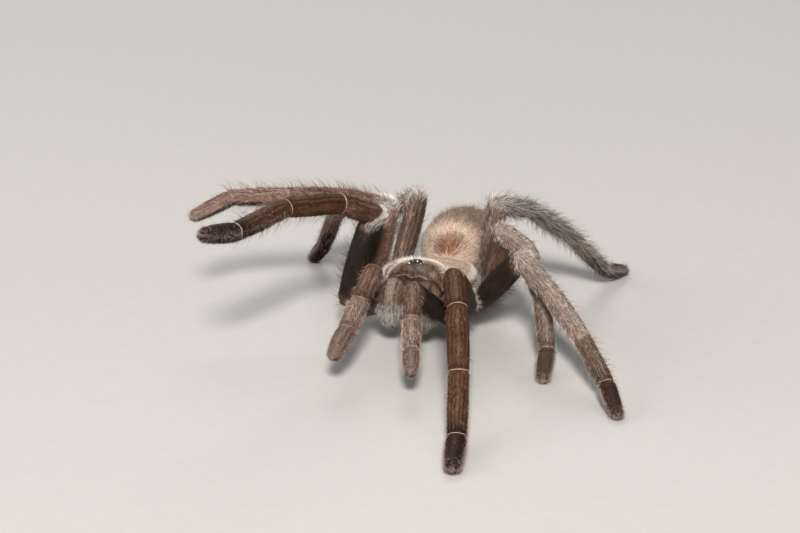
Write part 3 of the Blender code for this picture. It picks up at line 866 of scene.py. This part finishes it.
def dress_leg(kind, hand, seed):
    """The leg's coat: short hair along the leg, longer pale hair, bristles that stand out, foot brushes."""
    grid = leg_grid(kind, hand)
    colours = leg_markings(kind, hand, grid)
    f, look = grid.fields, coat_of(kind, hand)
    shag, grey = look.shag, np.array(look.grey, float)[f.segment]
    greyness = float(grey.mean())
    top, last = np.sin(f.around), TARSUS[kind]
    size = sum(SEGMENT_LENGTHS[kind]) * LEG_GIRTH[kind] / 52  # the leg's surface, next to a middling leg's
    foot, shin = (f.segment == last) * 1.0, f.segment == last - 1
    clear = ramp(f.segment + f.t, 0.6, 1.0)
    # the bare face, partly painted shade, also carries fewer and shorter hairs
    face, (dark, _) = bare_and_shaded_face(kind, hand, grid), long_lines(grid)
    edge = 1 - 0.7 * bump(f.left - 0.1, 0.2) * (f.segment > 0) * (f.segment < last)
    short = (0.42 + 0.38 * grey) * (1 - 0.25 * foot) * (1 - 0.4 * face)
    strew(grid, (12500 + 4000 * greyness) * size, colours, short, 10 + 9 * grey, girth=0.028 + 0.006 * grey,
          spread=0.07 + 0.06 * shag, vary=0.3 + 0.25 * greyness, seed=seed, other=UMBER * 0.6,
          other_share=0.2 * grey, chance=(1 - 0.5 * dark) * edge * (0.3 + 0.7 * clear) * (1 - 0.75 * face))
    long_pale = mix(FROST * 1.2, WARM * 1.5, look.warm) * look.tone
    grown = (0.1 + grey) * clear * (1 - 0.8 * foot) * (1 - face) * (1 - 0.75 * (f.segment == FEMUR))
    strew(grid, 3700 * size * shag, mix(colours, long_pale, 0.3 + 0.5 * grey), 0.95 + 0.75 * shag,
          19 + 12 * shag, girth=0.025, chance=grown, curved=True, droop=0.55, spread=0.18, vary=0.35,
          seed=seed + 1, tip_shade=1.15)
    far = 1.35 if (kind, hand) in REACHING else 1.2 if kind == "leg_2" else 1.0
    rim = ramp(np.abs(top), 0.35, 0.95)
    strew(grid, (550 + 550 * shag) * size * far, mix(colours, FAWN, 0.5) * 0.65,
          far * (1.5 + 0.9 * shag) * (1 - 0.55 * foot), 40 + 14 * rim, girth=0.021, curved=True, droop=0.45,
          chance=(0.25 + shag) * (0.15 + rim) * clear * (1 - 0.6 * foot), spread=0.17, seed=seed + 6)
    brush = ((f.segment == last) + 0.7 * shin * ramp(f.t, 0.2, 0.5)) * ramp(-top, 0.0, 0.4)
    strew(grid, 2300 * size, colours, 0.5, 48, girth=0.032, chance=brush + FAINT, spread=0.15, seed=seed + 2)
    skirt = (foot + 0.4 * shin) * (bump(top + 0.05, 0.4) + 0.4 * foot * ramp(f.t, 0.85, 1))
    strew(grid, 1700 * size, mix(colours, FROST, 0.6), 0.75, 42, girth=0.02, chance=skirt + FAINT,
          spread=0.22, seed=seed + 3)
    root = (f.segment == 0) * ramp(f.t, 0.35, 0.8) + (f.segment == FEMUR) * bump(f.past, 1.3)
    strew(grid, 420 * size, IVORY, 1.2, 46, girth=0.022, curved=True, spread=0.5, seed=seed + 4,
          chance=root * ramp(top, -0.6, 0.3) + FAINT)
    knee = white_knee(kind, hand, grid) * ramp(top, -0.9, 0.1)
    strew(grid, 700 * size * sum(look.white), IVORY * 1.15, 1.3, 24 + 16 * (f.segment == PATELLA),
          girth=0.027, chance=knee + FAINT, curved=True, spread=0.3, seed=seed + 5)
    make_coat(f"coat_{kind}_{hand}", LEG_COAT, "leg_coat")
    return grid, colours


def claws():
    """Two small hooks at each foot: a tapering arc, one part in a joined mesh."""
    turn = np.linspace(0, math.radians(100), 7)
    bend, hooks = 0.5, []
    for kind, hand in POSES:
        joints, axes, headings = leg_joints(kind, hand)
        level = level_of(headings[-1], side_of(hand))
        over = np.cross(axes[-1], level)
        tip = joints[-1] + axes[-1] * (leg_radii(kind)[0][-1] - 0.62) + over * 0.25
        for apart in (-0.22, 0.22):
            forward, down = bend * np.sin(turn)[:, None], bend * (1 - np.cos(turn))[:, None]
            path = tip + level * apart + forward * axes[-1] - down * over
            path[:, 2] = np.maximum(path[:, 2], 0.16)
            up = np.cross(unit(np.gradient(path, axis=0)), level)
            thick = 0.11 * (1 - 0.86 * np.linspace(0, 1, len(turn)))
            hook = path[:, None] + thick[:, None, None] * spokes(circle(8), level, up)
            hooks.append(closed_shell(Grid(hook)))
    settle(new_object("claws", *joined(hooks), CLAW), "fang")


# ---------------------------------------------------------------- the body
def groove(side, ahead, start, end, width, depth):
    """A furrow from start to end on both sides: depth * exp(-(distance to the line / width) squared)."""
    a, b = np.array(start), np.array(end)
    p = np.stack([np.abs(side), ahead], axis=-1)
    share = part_of(((p - a) @ (b - a)) / np.sum((b - a) ** 2))
    gap = np.linalg.norm(p - a - share[..., None] * (b - a), axis=-1)
    return depth * bump(gap, width)


HEAD_GROOVE = ((0.9, -1.9), (4.7, 4.6))
RAY_GROOVES = (((1.2, -2.3), (6.9, 1.4)), ((1.2, -2.8), (7.2, -2.4)), ((0.9, -3.2), (5.6, -6.0)))


def carapace_relief(side, ahead):
    """How deep the furrows are: the pit in the middle, the head groove and three rays on each side."""
    pit = 0.75 * bump(side, 1.2) * bump(ahead - FOVEA_AHEAD, 0.5)
    depth = pit + groove(side, ahead, *HEAD_GROOVE, 0.55, 0.42)
    for ray in RAY_GROOVES:
        depth = depth + groove(side, ahead, *ray, 0.5, 0.26)
    return depth


def carapace_top(side, ahead, wide):
    """The top of the carapace: crown, less furrows and the notch of the brow, plus the eye mound.

    The crown falls to the rim as a superellipse: (1 - (side / wide)^2.3)^0.55."""
    share = part_of(np.abs(side) / wide)
    rim = CARAPACE_MARGIN + 0.5
    base = rim + (crown(ahead) - 0.2 - rim) * (1 - share**2.3) ** 0.55
    mound = TURRET_HEIGHT * 0.95 * np.exp(-((np.abs(side) / (TURRET_HALF_WIDTH * 0.95)) ** 4)
                                          - (np.abs(ahead - TURRET_AHEAD) / TURRET_HALF_LENGTH) ** 4)
    notch = 0.5 * bump(side, 0.7) * ramp(ahead, 7.6, 8.6)
    return base - carapace_relief(side, ahead) * (1 - share**6) + mound - notch


def carapace_grid():
    """Rings across the carapace: the top by carapace_top, the underside a shallow bow to the margin."""
    angle = circle(96)
    half = CARAPACE_LENGTH / 2 - COAT_DEPTH * 0.5
    ahead = (-half * np.cos(np.linspace(0.06, math.pi - 0.06, 64)))[:, None]
    wide = half_width(ahead) - COAT_DEPTH * 0.8
    side = wide * np.cos(angle)
    ahead = np.broadcast_to(ahead, side.shape)
    under = CARAPACE_MARGIN + 0.15 + 0.35 * np.sin(angle)
    top = np.maximum(carapace_top(side, ahead, wide), CARAPACE_MARGIN + 0.3)
    up = np.where(np.sin(angle) >= 0, top, under)
    turn, reach = np.arctan2(side, ahead - FOVEA_AHEAD), np.hypot(side, ahead - FOVEA_AHEAD)
    return body_grid(side, ahead, up, hair_run(turn, 3, 0.15 * reach), side=side, ahead=ahead, around=angle)


def dress_carapace(seed):
    """Brown head with fine pale rays and a dark eye patch; silver-white hair on the crest and flanks, the
    right side painted browner with less white hair as painted shade.
    """
    grid = carapace_grid()
    RIMS.append((grid.points[-1].copy(), 0.5))
    side, ahead = grid.fields.side, grid.fields.ahead
    share = np.abs(side) / half_width(ahead)
    above = (np.sin(grid.fields.around) >= 0) * 1.0
    rays = wobble(grid.grain * [1, 1, 1.5], 0.8, 14)
    inside = 0.9 + (ahead + 1.9) * 0.585 - np.abs(side)  # how far inside the head groove
    head = ramp(inside, -0.5, 0.5) * ramp(ahead, 2.6, 4.6)
    shaded_right = ramp(-side, 0.5, 2.5)  # painted shade on the right side: a narrower crest, a browner flank and less pale hair
    crest_line = bump(inside + 0.5 - 0.3 * shaded_right, 1.4 - 0.8 * shaded_right) * ramp(ahead, 0.5, 3.0)
    rear_edge = ramp(ahead, 1.0 - 2.5 * shaded_right, 4.0 - 2.5 * shaded_right)
    rear_edge = rear_edge * ramp(share, 0.6 - 0.35 * shaded_right, 0.9 - 0.35 * shaded_right)
    mound_ahead = ahead - TURRET_AHEAD
    eye_patch = part_of(1.35 * bump(side, 1.7) * bump(mound_ahead - 0.15, 1.25))
    colours = layered(
        CREAM * 1.05,
        (TAUPE, part_of(0.12 + 0.3 * rays)),
        (mix(UMBER, TAUPE, 0.6), (0.15 + 0.8 * shaded_right) * (1 - head) * rear_edge),
        (IVORY, 0.85 * (1 - head) * part_of(crest_line + bump(ahead - 3.0, 1.3) * (share < 0.6))),
        (mix(UMBER * 1.5, TAUPE * [1.3, 1.4, 1.45], part_of(0.35 + 0.5 * rays)), head),
        (BARE, np.clip(1.3 * carapace_relief(side, ahead), 0, 0.7) * above),
        (BARE, 0.75 * bump(ahead - 8.1, 0.3) * above),
        (BARE, ramp(ahead, 8.5, 8.6) * 0.9),
        (IVORY, 0.6 * ramp(share, 0.88, 1.0) * (1 - ramp(ahead, 2.5 - 3 * shaded_right, 5.0 - 3 * shaded_right))),
        (BARE * 0.8, 0.92 * eye_patch * above),
    )
    away = (ahead - FOVEA_AHEAD) * 0.8
    lie = np.stack([side, -away * math.cos(BODY_PITCH), away * math.sin(BODY_PITCH)], axis=-1)
    lie = unit(lie + 1e-6)
    mound = part_of(1.3 * bump(side, 1.35) * bump(mound_ahead, 1.0))
    haired = above * (1 - ramp(ahead, 8.3, 8.5))
    strew(grid, 17000, colours, 0.62 - 0.3 * head, 12, girth=0.027, lie=lie, spread=0.1, seed=seed, vary=0.3,
          chance=(1 - 0.93 * mound) * haired * (1 - 0.45 * head) + FAINT)
    fringe = ramp(share, 0.8, 0.97) * (1 - ramp(ahead, 3.0 - 3.0 * shaded_right, 5.5 - 3.0 * shaded_right)) + (
        0.4 * (1 - shaded_right) * (1 - head) * ramp(ahead, -1, 2.5))
    strew(grid, 3600, mix(colours, IVORY, 0.75), 1.1 - 0.5 * head, 24, girth=0.021, lie=lie, curved=True,
          seed=seed + 1, spread=0.22, chance=fringe * haired * (1 - 0.9 * head) + FAINT)
    crest = bump(inside, 0.8 - 0.4 * shaded_right) * (1 - 0.5 * shaded_right) * ramp(ahead, 1.5, 4.5) + (
        bump(ahead - 3.4, 1.1) * ramp(3.5 - np.abs(side), 0, 1))
    strew(grid, 1500, IVORY * 1.15, 1.15, 26, girth=0.025, lie=lie, curved=True, seed=seed + 3, spread=0.3,
          chance=crest * haired * (1 - ramp(ahead, 6.5, 7.5)) + FAINT)
    strew(grid, 420, mix(colours, FROST, 0.7), 0.9, 55, girth=0.018, lie=lie, curved=True, seed=seed + 2,
          spread=0.3, chance=haired * (bump(side, 2.6) * ramp(ahead, 3, 5.5) + 0.08) * (1 - 0.8 * mound))
    make_coat("coat_carapace", BODY_COAT, "carapace_coat")
    return grid, colours


def abdomen_grid():
    """An egg: ring half width = bulge(t) * (0.94 + 0.12 t), bulge = sqrt(1 - |2t - 1| to the 2.3)."""
    angle = circle(72)
    t = (0.5 - 0.5 * np.cos(np.linspace(0.12, math.pi - 0.12, 56)))[:, None]
    bulge = (1 - np.abs(2 * t - 1) ** 2.3) ** 0.5 * (0.94 + 0.12 * t)
    side = (ABDOMEN_HALF_WIDTH * bulge - COAT_DEPTH * bulge**0.5) * np.cos(angle)
    up = ABDOMEN_CENTRE_UP + (ABDOMEN_HALF_HEIGHT * bulge - COAT_DEPTH * bulge**0.5) * np.sin(angle)
    ahead = ABDOMEN_FRONT - COAT_DEPTH - (ABDOMEN_LENGTH - 2 * COAT_DEPTH) * t
    dip = 0.14 * (bump(np.abs(side) - 2.4, 0.5)) * bump(t - 0.35, 0.08) * (np.sin(angle) > 0)
    around, along = np.broadcast_arrays(angle, 3.0 * t)
    return body_grid(side, ahead, up - dip, hair_run(around, 5, along), t=t, around=angle, side=side)


def dress_abdomen(seed):
    """Cream hair that runs back from the waist, a blaze of dark rufous streaks in front, brown behind; the
    flanks are painted paler, partly real cream and partly painted light.
    """
    grid = abdomen_grid()
    t, side = grid.fields.t, grid.fields.side
    turn, top = np.degrees(grid.fields.around), np.sin(grid.fields.around)
    streak = wobble(grid.grain, 1.0, 21)
    flank = 1 - ramp(top, 0.35, 0.9)
    rear = ramp(t - 0.3 * flank, 0.13, 0.42)
    pale = mix(CREAM, TAN, part_of(0.45 + 0.3 * wobble(grid.points, 4, 4) + 0.15 * streak))
    blaze = bump(turn - 98, 39) * ramp(t, 0.0, 0.01) * (1 - ramp(t, 0.04, 0.18))
    blaze = part_of(blaze * (1.1 + 0.5 * streak))
    # painted light: the bump in top raises the flanks beyond their real cream, as light that hair scatters
    # at the edge
    colours = layered(
        pale * (1.15 + 0.45 * bump(top - 0.1, 0.6) * (1 - rear))[..., None],
        (mix(UMBER * 0.7, TAUPE, 0.02), part_of(0.98 * rear + 0.12 * streak)),
        (mix(UMBER * 1.4, TAUPE, 0.15), 0.85 * ramp(-top, 0.1, 0.65)),
        (UMBER * 1.5, 0.35 * ramp(t, 0.6, 0.95)),
        (OLIVE * 0.8, 0.6 * (bump(side, 1.5) * bump(t - 0.33, 0.06)) * (top > 0)),
        (GOLD * 1.15, 0.75 * (bump(turn - 70, 24) * (1 - ramp(t, 0.03, 0.11)))),
    )
    strew(grid, 34000, colours, 0.75 + 0.35 * ramp(t, 0.08, 0.4), 15 + 14 * flank * (1 - rear), girth=0.028,
          spread=0.09, seed=seed, vary=0.2, other=RUFOUS, other_share=0.11 * blaze + 0.16 * rear)
    strew(grid, 1400, RUFOUS * [0.95, 0.92, 0.9], 2.2, 13, girth=0.024, spread=0.1, seed=seed + 2,
          chance=blaze + FAINT, vary=0.4)
    # the long hair on the flanks is paler: partly real cream, partly painted light
    strew(grid, 5000, mix(colours, CREAM * 1.3, 0.12 + 0.4 * flank * (1 - rear)), 1.4 + 1.0 * rear, 34,
          girth=0.022, curved=True, vary=0.35, spread=0.22, seed=seed + 1,
          chance=(0.15 + rear + 0.9 * flank * (1 - rear)) * (1 - 0.9 * blaze), tip_shade=1.1)
    make_coat("coat_abdomen", VELVET, "abdomen_coat")
    return grid, mix(colours, RUFOUS, 0.08 * blaze)


def sternum_grid():
    """A shield seen from below: rings going down, each an ellipse times its share, then in over the end."""
    angle = circle(48)
    sides, end = 16, 6  # rings down the sides, and over the end
    down = np.concatenate([np.linspace(0, 1, sides), np.ones(end)])[:, None]
    share = np.interp(down, (0, 0.35, 0.75, 1.0), (0.95, 1.0, 0.86, 0.46))
    share[sides:, 0] = np.linspace(0.4, 0.08, end)
    side = (STERNUM_HALF_WIDTH * share - COAT_DEPTH) * np.cos(angle)
    ahead = (STERNUM_LENGTH / 2 * share - COAT_DEPTH) * np.sin(angle) + 0.2
    up = STERNUM_TOP + 1.2 - (STERNUM_DEPTH + 1.2 - COAT_DEPTH) * down
    return body_grid(side, ahead, up, down=down)


def stalk_grid():
    """The waist: a plain round tube from the sternum into the abdomen."""
    angle = circle(20)
    ahead = np.linspace(-STERNUM_LENGTH / 2 + 2, ABDOMEN_FRONT - 2.0, 10)[:, None]
    radius = STALK_RADIUS - 0.25
    return body_grid(radius * np.cos(angle), ahead, ABDOMEN_CENTRE_UP - 1.2 + radius * np.sin(angle))


def spinneret_grid(side):
    """A finger of three tapering joints that leans out and up: rings along a straight axis."""
    rear = ABDOMEN_FRONT - ABDOMEN_LENGTH
    start = np.array([side * SPINNERET_SPREAD / 2, rear - 0.3, ABDOMEN_CENTRE_UP - 0.9])
    axis = unit(np.array([side * 0.35, -0.9, 0.28]))
    level = unit(np.cross([0, 0, 1.0], axis))
    spoke = spokes(circle(20), level, np.cross(axis, level))
    joints = np.concatenate([[0], np.cumsum(SPINNERET_LENGTHS)])
    reach = np.linspace(-1.2, joints[-1] - 0.1, 26)
    pinch = sum(bump(reach - j, 0.2) for j in joints[1:3])
    radius = np.interp(reach, joints, SPINNERET_RADII) - 0.24 - 0.1 * pinch
    radius[-1] *= 0.5
    return Grid(to_world(start + axis * 0.15 + reach[:, None, None] * axis + radius[:, None, None] * spoke))


def dress_underside(seed):
    """Dark russet-brown velvet on the sternum, the waist and, paler, the spinnerets."""
    under = sternum_grid()
    down = under.fields.down
    shade = mix(UMBER * 0.75, RUSSET * 0.6, 0.35 + 0.15 * wobble(under.points, 3, 12))
    here = dict(lie=np.broadcast_to([0, 1.0, 0], under.points.shape), cell=(0, 0, 0.6, 1))
    strew(under, 10500, shade, 0.8, 24, girth=0.036, spread=0.2, seed=seed,
          chance=ramp(down, 0.15, 0.4), **here)
    strew(under, 600, mix(shade, FROST, 0.5), 1.7, 45, girth=0.026, curved=True, spread=0.3, seed=seed + 1,
          chance=ramp(down, 0.3, 0.6) + FAINT, **here)
    made = [(under, shade)]
    waist = stalk_grid()
    strew(waist, 700, UMBER * 0.8, 0.6, 25, girth=0.034, seed=seed + 2, cell=(0.6, 0, 0.7, 1))
    made.append((waist, np.broadcast_to(UMBER * 0.8, waist.points.shape)))
    for n, side in enumerate((1, -1)):
        finger = spinneret_grid(side)
        shade = np.broadcast_to(mix(UMBER, TAUPE, 0.5), finger.points.shape)
        cell = (0.7 + 0.15 * n, 0, 0.85 + 0.15 * n, 1)
        strew(finger, 1300, shade, 0.5, 24, girth=0.03, seed=seed + 3 + n, cell=cell)
        strew(finger, 120, mix(shade, IVORY, 0.5), 1.1, 35, girth=0.022, curved=True, seed=seed + 5 + n,
              cell=cell)
        made.append((finger, shade))
    make_coat("coat_underside", BODY_COAT, "underside_coat")
    return made


# ---------------------------------------------------------------- the head
def chelicera_grid(side):
    """A jaw: rings square to a quarter ellipse from under the brow, down and forward to the fang's root."""
    start_ahead, start_up = CHELICERA_START
    t = np.linspace(-0.35, 1.0, 34)[:, None]
    a = part_of(t) * math.pi / 2
    ahead = start_ahead + CHELICERA_REACH * np.sin(a) + np.minimum(t, 0) * 6
    up = start_up - CHELICERA_DROP * (1 - np.cos(a)) + np.minimum(t, 0) * 0.6
    lean = np.arctan2(CHELICERA_DROP * np.sin(a), CHELICERA_REACH * np.cos(a) + 1e-9)
    share = np.interp(t, (-0.35, 0, 0.2, 0.45, 0.7, 0.88, 1.0), (0.8, 0.93, 1.0, 1.02, 0.92, 0.73, 0.42))
    angle = circle(48)
    wide = CHELICERA_HALF_WIDTH * share - COAT_DEPTH * 0.85
    tall = CHELICERA_HALF_HEIGHT * share * (1 - 0.25 * part_of(t)) - COAT_DEPTH * 0.85
    across = side * CHELICERA_ASIDE + wide * np.cos(angle)
    ahead = ahead + tall * np.sin(lean) * np.sin(angle)
    up = up + tall * np.cos(lean) * np.sin(angle)
    around, along = np.broadcast_arrays(angle, 0.9 * t)
    return body_grid(across, ahead, up, hair_run(around, 2.2, along), t=t, around=angle, side=across * side)


def dress_jaws(seed):
    """Olive-brown jaws with bare stripes, blue-grey hair towards the tips and a long pale fringe; the left
    jaw is painted darker as shade, the right jaw's pale top, tip and fringe paler as light.
    """
    made = []
    for n, side in enumerate((1, -1)):
        grid = chelicera_grid(side)
        t, top = grid.fields.t, np.sin(grid.fields.around)
        inward = -side * (np.degrees(grid.fields.around) - 90)  # degrees from the top towards the other jaw
        streak = wobble(grid.grain * [1, 1, 0.7], 0.9, 30 + n)
        low = ramp(t, 0.54, 0.76)
        bare = (bump(inward + 22, 6) + bump(inward - 26, 8)) * (1 - ramp(t, 0.4, 0.6)) * ramp(t, -0.05, 0.1)
        inner = ramp(CHELICERA_HALF_WIDTH - grid.fields.side, 1.2, 2.3)
        # painted light and shade: each term in side darkens the left jaw as shade and lightens the right
        # jaw's pale top and tip as light, and so do the fringes below
        colours = layered(
            OLIVE,
            (FAWN, part_of(0.45 + 0.4 * streak)),
            (mix(TAUPE, FROST, 0.5), (0.45 - 0.25 * side) * bump(inward + 5, 22) * (1 - ramp(t, 0.35, 0.7))),
            (UMBER, 0.55 * bump(inward + 48, 16) * (1 - ramp(t, 0.5, 0.75))),
            (UMBER * 1.5, (0.2 + 0.2 * side) * (1 - ramp(t, 0.3, 0.6))),
            (SLATE * (0.8 - 0.2 * side), part_of(0.95 * low * ramp(top, 0.0, 0.6) + 0.1 * streak * low)),
            (BARE, 0.85 * bare),
            (BARE, 0.85 * (1 - ramp(t, -0.02, 0.07))),
            (BARE, 0.8 * inner * (1 - ramp(t, 0.6, 0.9))),
            (RUSSET, part_of(0.7 * inner * ramp(t, 0.5, 0.8) + 0.8 * ramp(-top, 0.0, 0.5))),
        )
        jaw_seed, cell = seed + 10 * n, (0.5 * n, 0, 0.5 + 0.5 * n, 1)
        out = ramp(t, -0.12, 0.05)
        strew(grid, 8000, colours, 0.45 + 0.35 * low, 13 + 6 * low, girth=0.026, seed=jaw_seed, cell=cell,
              chance=out * (1 - 0.7 * bare) + FAINT, spread=0.12, vary=0.36, other=UMBER,
              other_share=0.1 + 0.25 * low)
        strew(grid, 2200, mix(colours, IVORY, 0.36 - 0.12 * side), 0.9 + 0.5 * low, 22 + 12 * low,
              girth=0.026, seed=jaw_seed + 1, cell=cell, curved=True, spread=0.32, vary=0.4, other=UMBER,
              other_share=0.35, chance=low * ramp(top, -0.5, 0.1) + 0.06 * out + FAINT)
        strew(grid, 620, mix(colours, IVORY, 0.55 - 0.2 * side), 1.6, 26, girth=0.026, seed=jaw_seed + 3,
              cell=cell, curved=True, droop=0.2, spread=0.38, vary=0.35, other=UMBER * 1.5,
              other_share=0.4, chance=ramp(t, 0.75, 0.95) * ramp(top, -0.9, -0.2) + FAINT)
        strew(grid, 1000, RUSSET, 1.3, 55, girth=0.022, seed=jaw_seed + 2, cell=cell, curved=True,
              chance=ramp(t, 0.4, 0.8) * ramp(-top, -0.1, 0.5) + FAINT, spread=0.22)
        made.append((grid, colours))
    make_coat("coat_jaws", BODY_COAT, "chelicera_coat")
    return made


def fang(hand):
    """A hook that folds back under the jaw: circles square to a circle's arc, thinning to the point."""
    start_ahead, start_up = CHELICERA_START
    t = np.linspace(0, 1, 22)[:, None]
    first, last = map(math.radians, FANG_TURNS)
    turn, angle = first + (last - first) * t, circle(20)
    radius = FANG_RADIUS * (1 - 0.62 * t) * np.sqrt(np.clip(1.02 - t**8, 0.05, 1))
    ahead = start_ahead + CHELICERA_REACH - 0.3 - FANG_BEND * (math.cos(first) - np.cos(turn))
    up = start_up - CHELICERA_DROP - 0.75 - FANG_BEND * (np.sin(turn) - math.sin(first))
    hook = body_grid(
        side_of(hand) * CHELICERA_ASIDE + radius * np.cos(angle),
        ahead + radius * np.cos(turn) * np.sin(angle), up - radius * np.sin(turn) * np.sin(angle),
    )
    settle(new_object(f"fang_{hand}_horn", *closed_shell(hook), HORN), "fang", f"fang_{hand}")


def eyes():
    """Eight eyes, each a flattened ball sunk to half its depth in the mound, joined as one piece."""
    lat = np.linspace(0.05, math.pi - 0.05, 14)[:, None]
    lon = circle(24)
    balls = []
    for across, past_middle, long, broad in EYES:
        ahead = TURRET_AHEAD + past_middle
        up = float(carapace_top(np.array(across), np.array(ahead), half_width(ahead))) - 0.02
        for side in (1, -1):
            balls.append(closed_shell(body_grid(
                side * across + long * np.sin(lat) * np.cos(lon),
                ahead + broad * np.sin(lat) * np.sin(lon), up + 0.85 * broad * np.cos(lat),
            )))
    settle(new_object("eyes", *joined(balls), EYE), "eye")


# ---------------------------------------------------------------- floor, light and camera
def studio_floor():
    """A pale sweep, in metres: level to 2.2 behind the animal, then up a quarter circle into a wall."""
    turn = np.linspace(0, math.pi / 2, 20)
    y = np.concatenate([[-4.0], 2.2 + 1.5 * np.sin(turn), [3.7]])[:, None] / MM
    z = np.concatenate([[0.0], 1.5 * (1 - np.cos(turn)), [4.0]])[:, None] / MM
    points = np.stack(np.broadcast_arrays(np.linspace(-4.0, 4.0, 9) / MM, y, z), axis=-1)
    quads = squares(*points.shape[:2], (False, False), flip=True)
    paper = finish_of("floor_paper", 0.8, 3, 400, 0.02, 0.015, bump_depth=0.00002, specular=0.2,
                      plain=(0.42, 0.405, 0.385))
    new_object("floor", points.reshape(-1, 3), quads.ravel(), np.full(len(quads), 4), paper)


def soft_light(name, stand, aim, size, power, tint=(1, 1, 1)):
    """A round lamp at stand that faces aim, all in metres and watts."""
    lamp = bpy.data.lights.new(name, "AREA")
    lamp.shape, lamp.size, lamp.energy, lamp.color = "DISK", size, power, tint
    obj = place(name, lamp)
    obj.location = stand
    obj.rotation_euler = (Vector(aim) - Vector(stand)).to_track_quat("-Z", "Y").to_euler()


CAMERA_AZIMUTH = math.radians(18.0)
CAMERA_ELEVATION = math.radians(20.5)
CAMERA_DISTANCE = 330.0
CAMERA_LENS = 90.585
EYES_PLACE = (0, 7.0, 3.9)
EYES_RIGHT, EYES_UP = 2.459, 0.7377  # how far right of the middle of the view the eyes stand, and above it


def viewpoint():
    """The camera looks at the eyes from its azimuth and elevation, then slides them off the middle."""
    a, e = CAMERA_AZIMUTH, CAMERA_ELEVATION
    back = np.array([math.sin(a) * math.cos(e), -math.cos(a) * math.cos(e), math.sin(e)])
    right = np.array([math.cos(a), math.sin(a), 0])
    up = np.cross(back, right)
    aim = to_world(EYES_PLACE) - right * EYES_RIGHT - up * EYES_UP
    camera = bpy.data.cameras.new("camera")
    camera.sensor_width, camera.lens = 36, CAMERA_LENS
    camera.clip_start, camera.clip_end = 0.01, 50
    turn = Matrix((right, up, back)).transposed().to_4x4()
    turn.translation = Vector((aim + back * CAMERA_DISTANCE) * MM)
    obj = place("camera", camera)
    obj.matrix_world = turn
    bpy.context.scene.camera = obj


def studio():
    """The floor, a dim cool sky and three soft lamps."""
    world = bpy.data.worlds.new("studio")
    world.use_nodes = True
    sky = world.node_tree.nodes["Background"].inputs
    sky["Color"].default_value, sky["Strength"].default_value = (0.93, 0.96, 1.0, 1), 0.22
    bpy.context.scene.world = world
    bpy.context.scene.view_settings.view_transform = "Standard"
    studio_floor()
    soft_light("key", (0.30, -0.92, 0.74), (0, -0.01, 0.01), 0.2, 25, (1.0, 0.965, 0.92))
    soft_light("fill", (-0.9, -0.5, 0.5), (0, 0, 0.01), 0.8, 5.5, (0.97, 0.98, 1.0))
    soft_light("back", (-0.3, 0.8, 0.8), (0, 0, 0.01), 0.6, 6)


viewpoint()
studio()
flesh = [dress_leg(kind, hand, 100 + 10 * n) for n, (kind, hand) in enumerate(POSES)]
flesh += [dress_carapace(300), dress_abdomen(310), *dress_underside(320), *dress_jaws(340)]
nodes_of_flesh = [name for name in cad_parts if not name.startswith("fang")]
under_coat = [(grid, colours * SKIN_SHADE) for grid, colours in flesh]
make_skin("skin", under_coat, CUTICLE, "leg_coat", *nodes_of_flesh)
joint_rims()
for hand in ("left", "right"):
    fang(hand)
eyes()
claws()
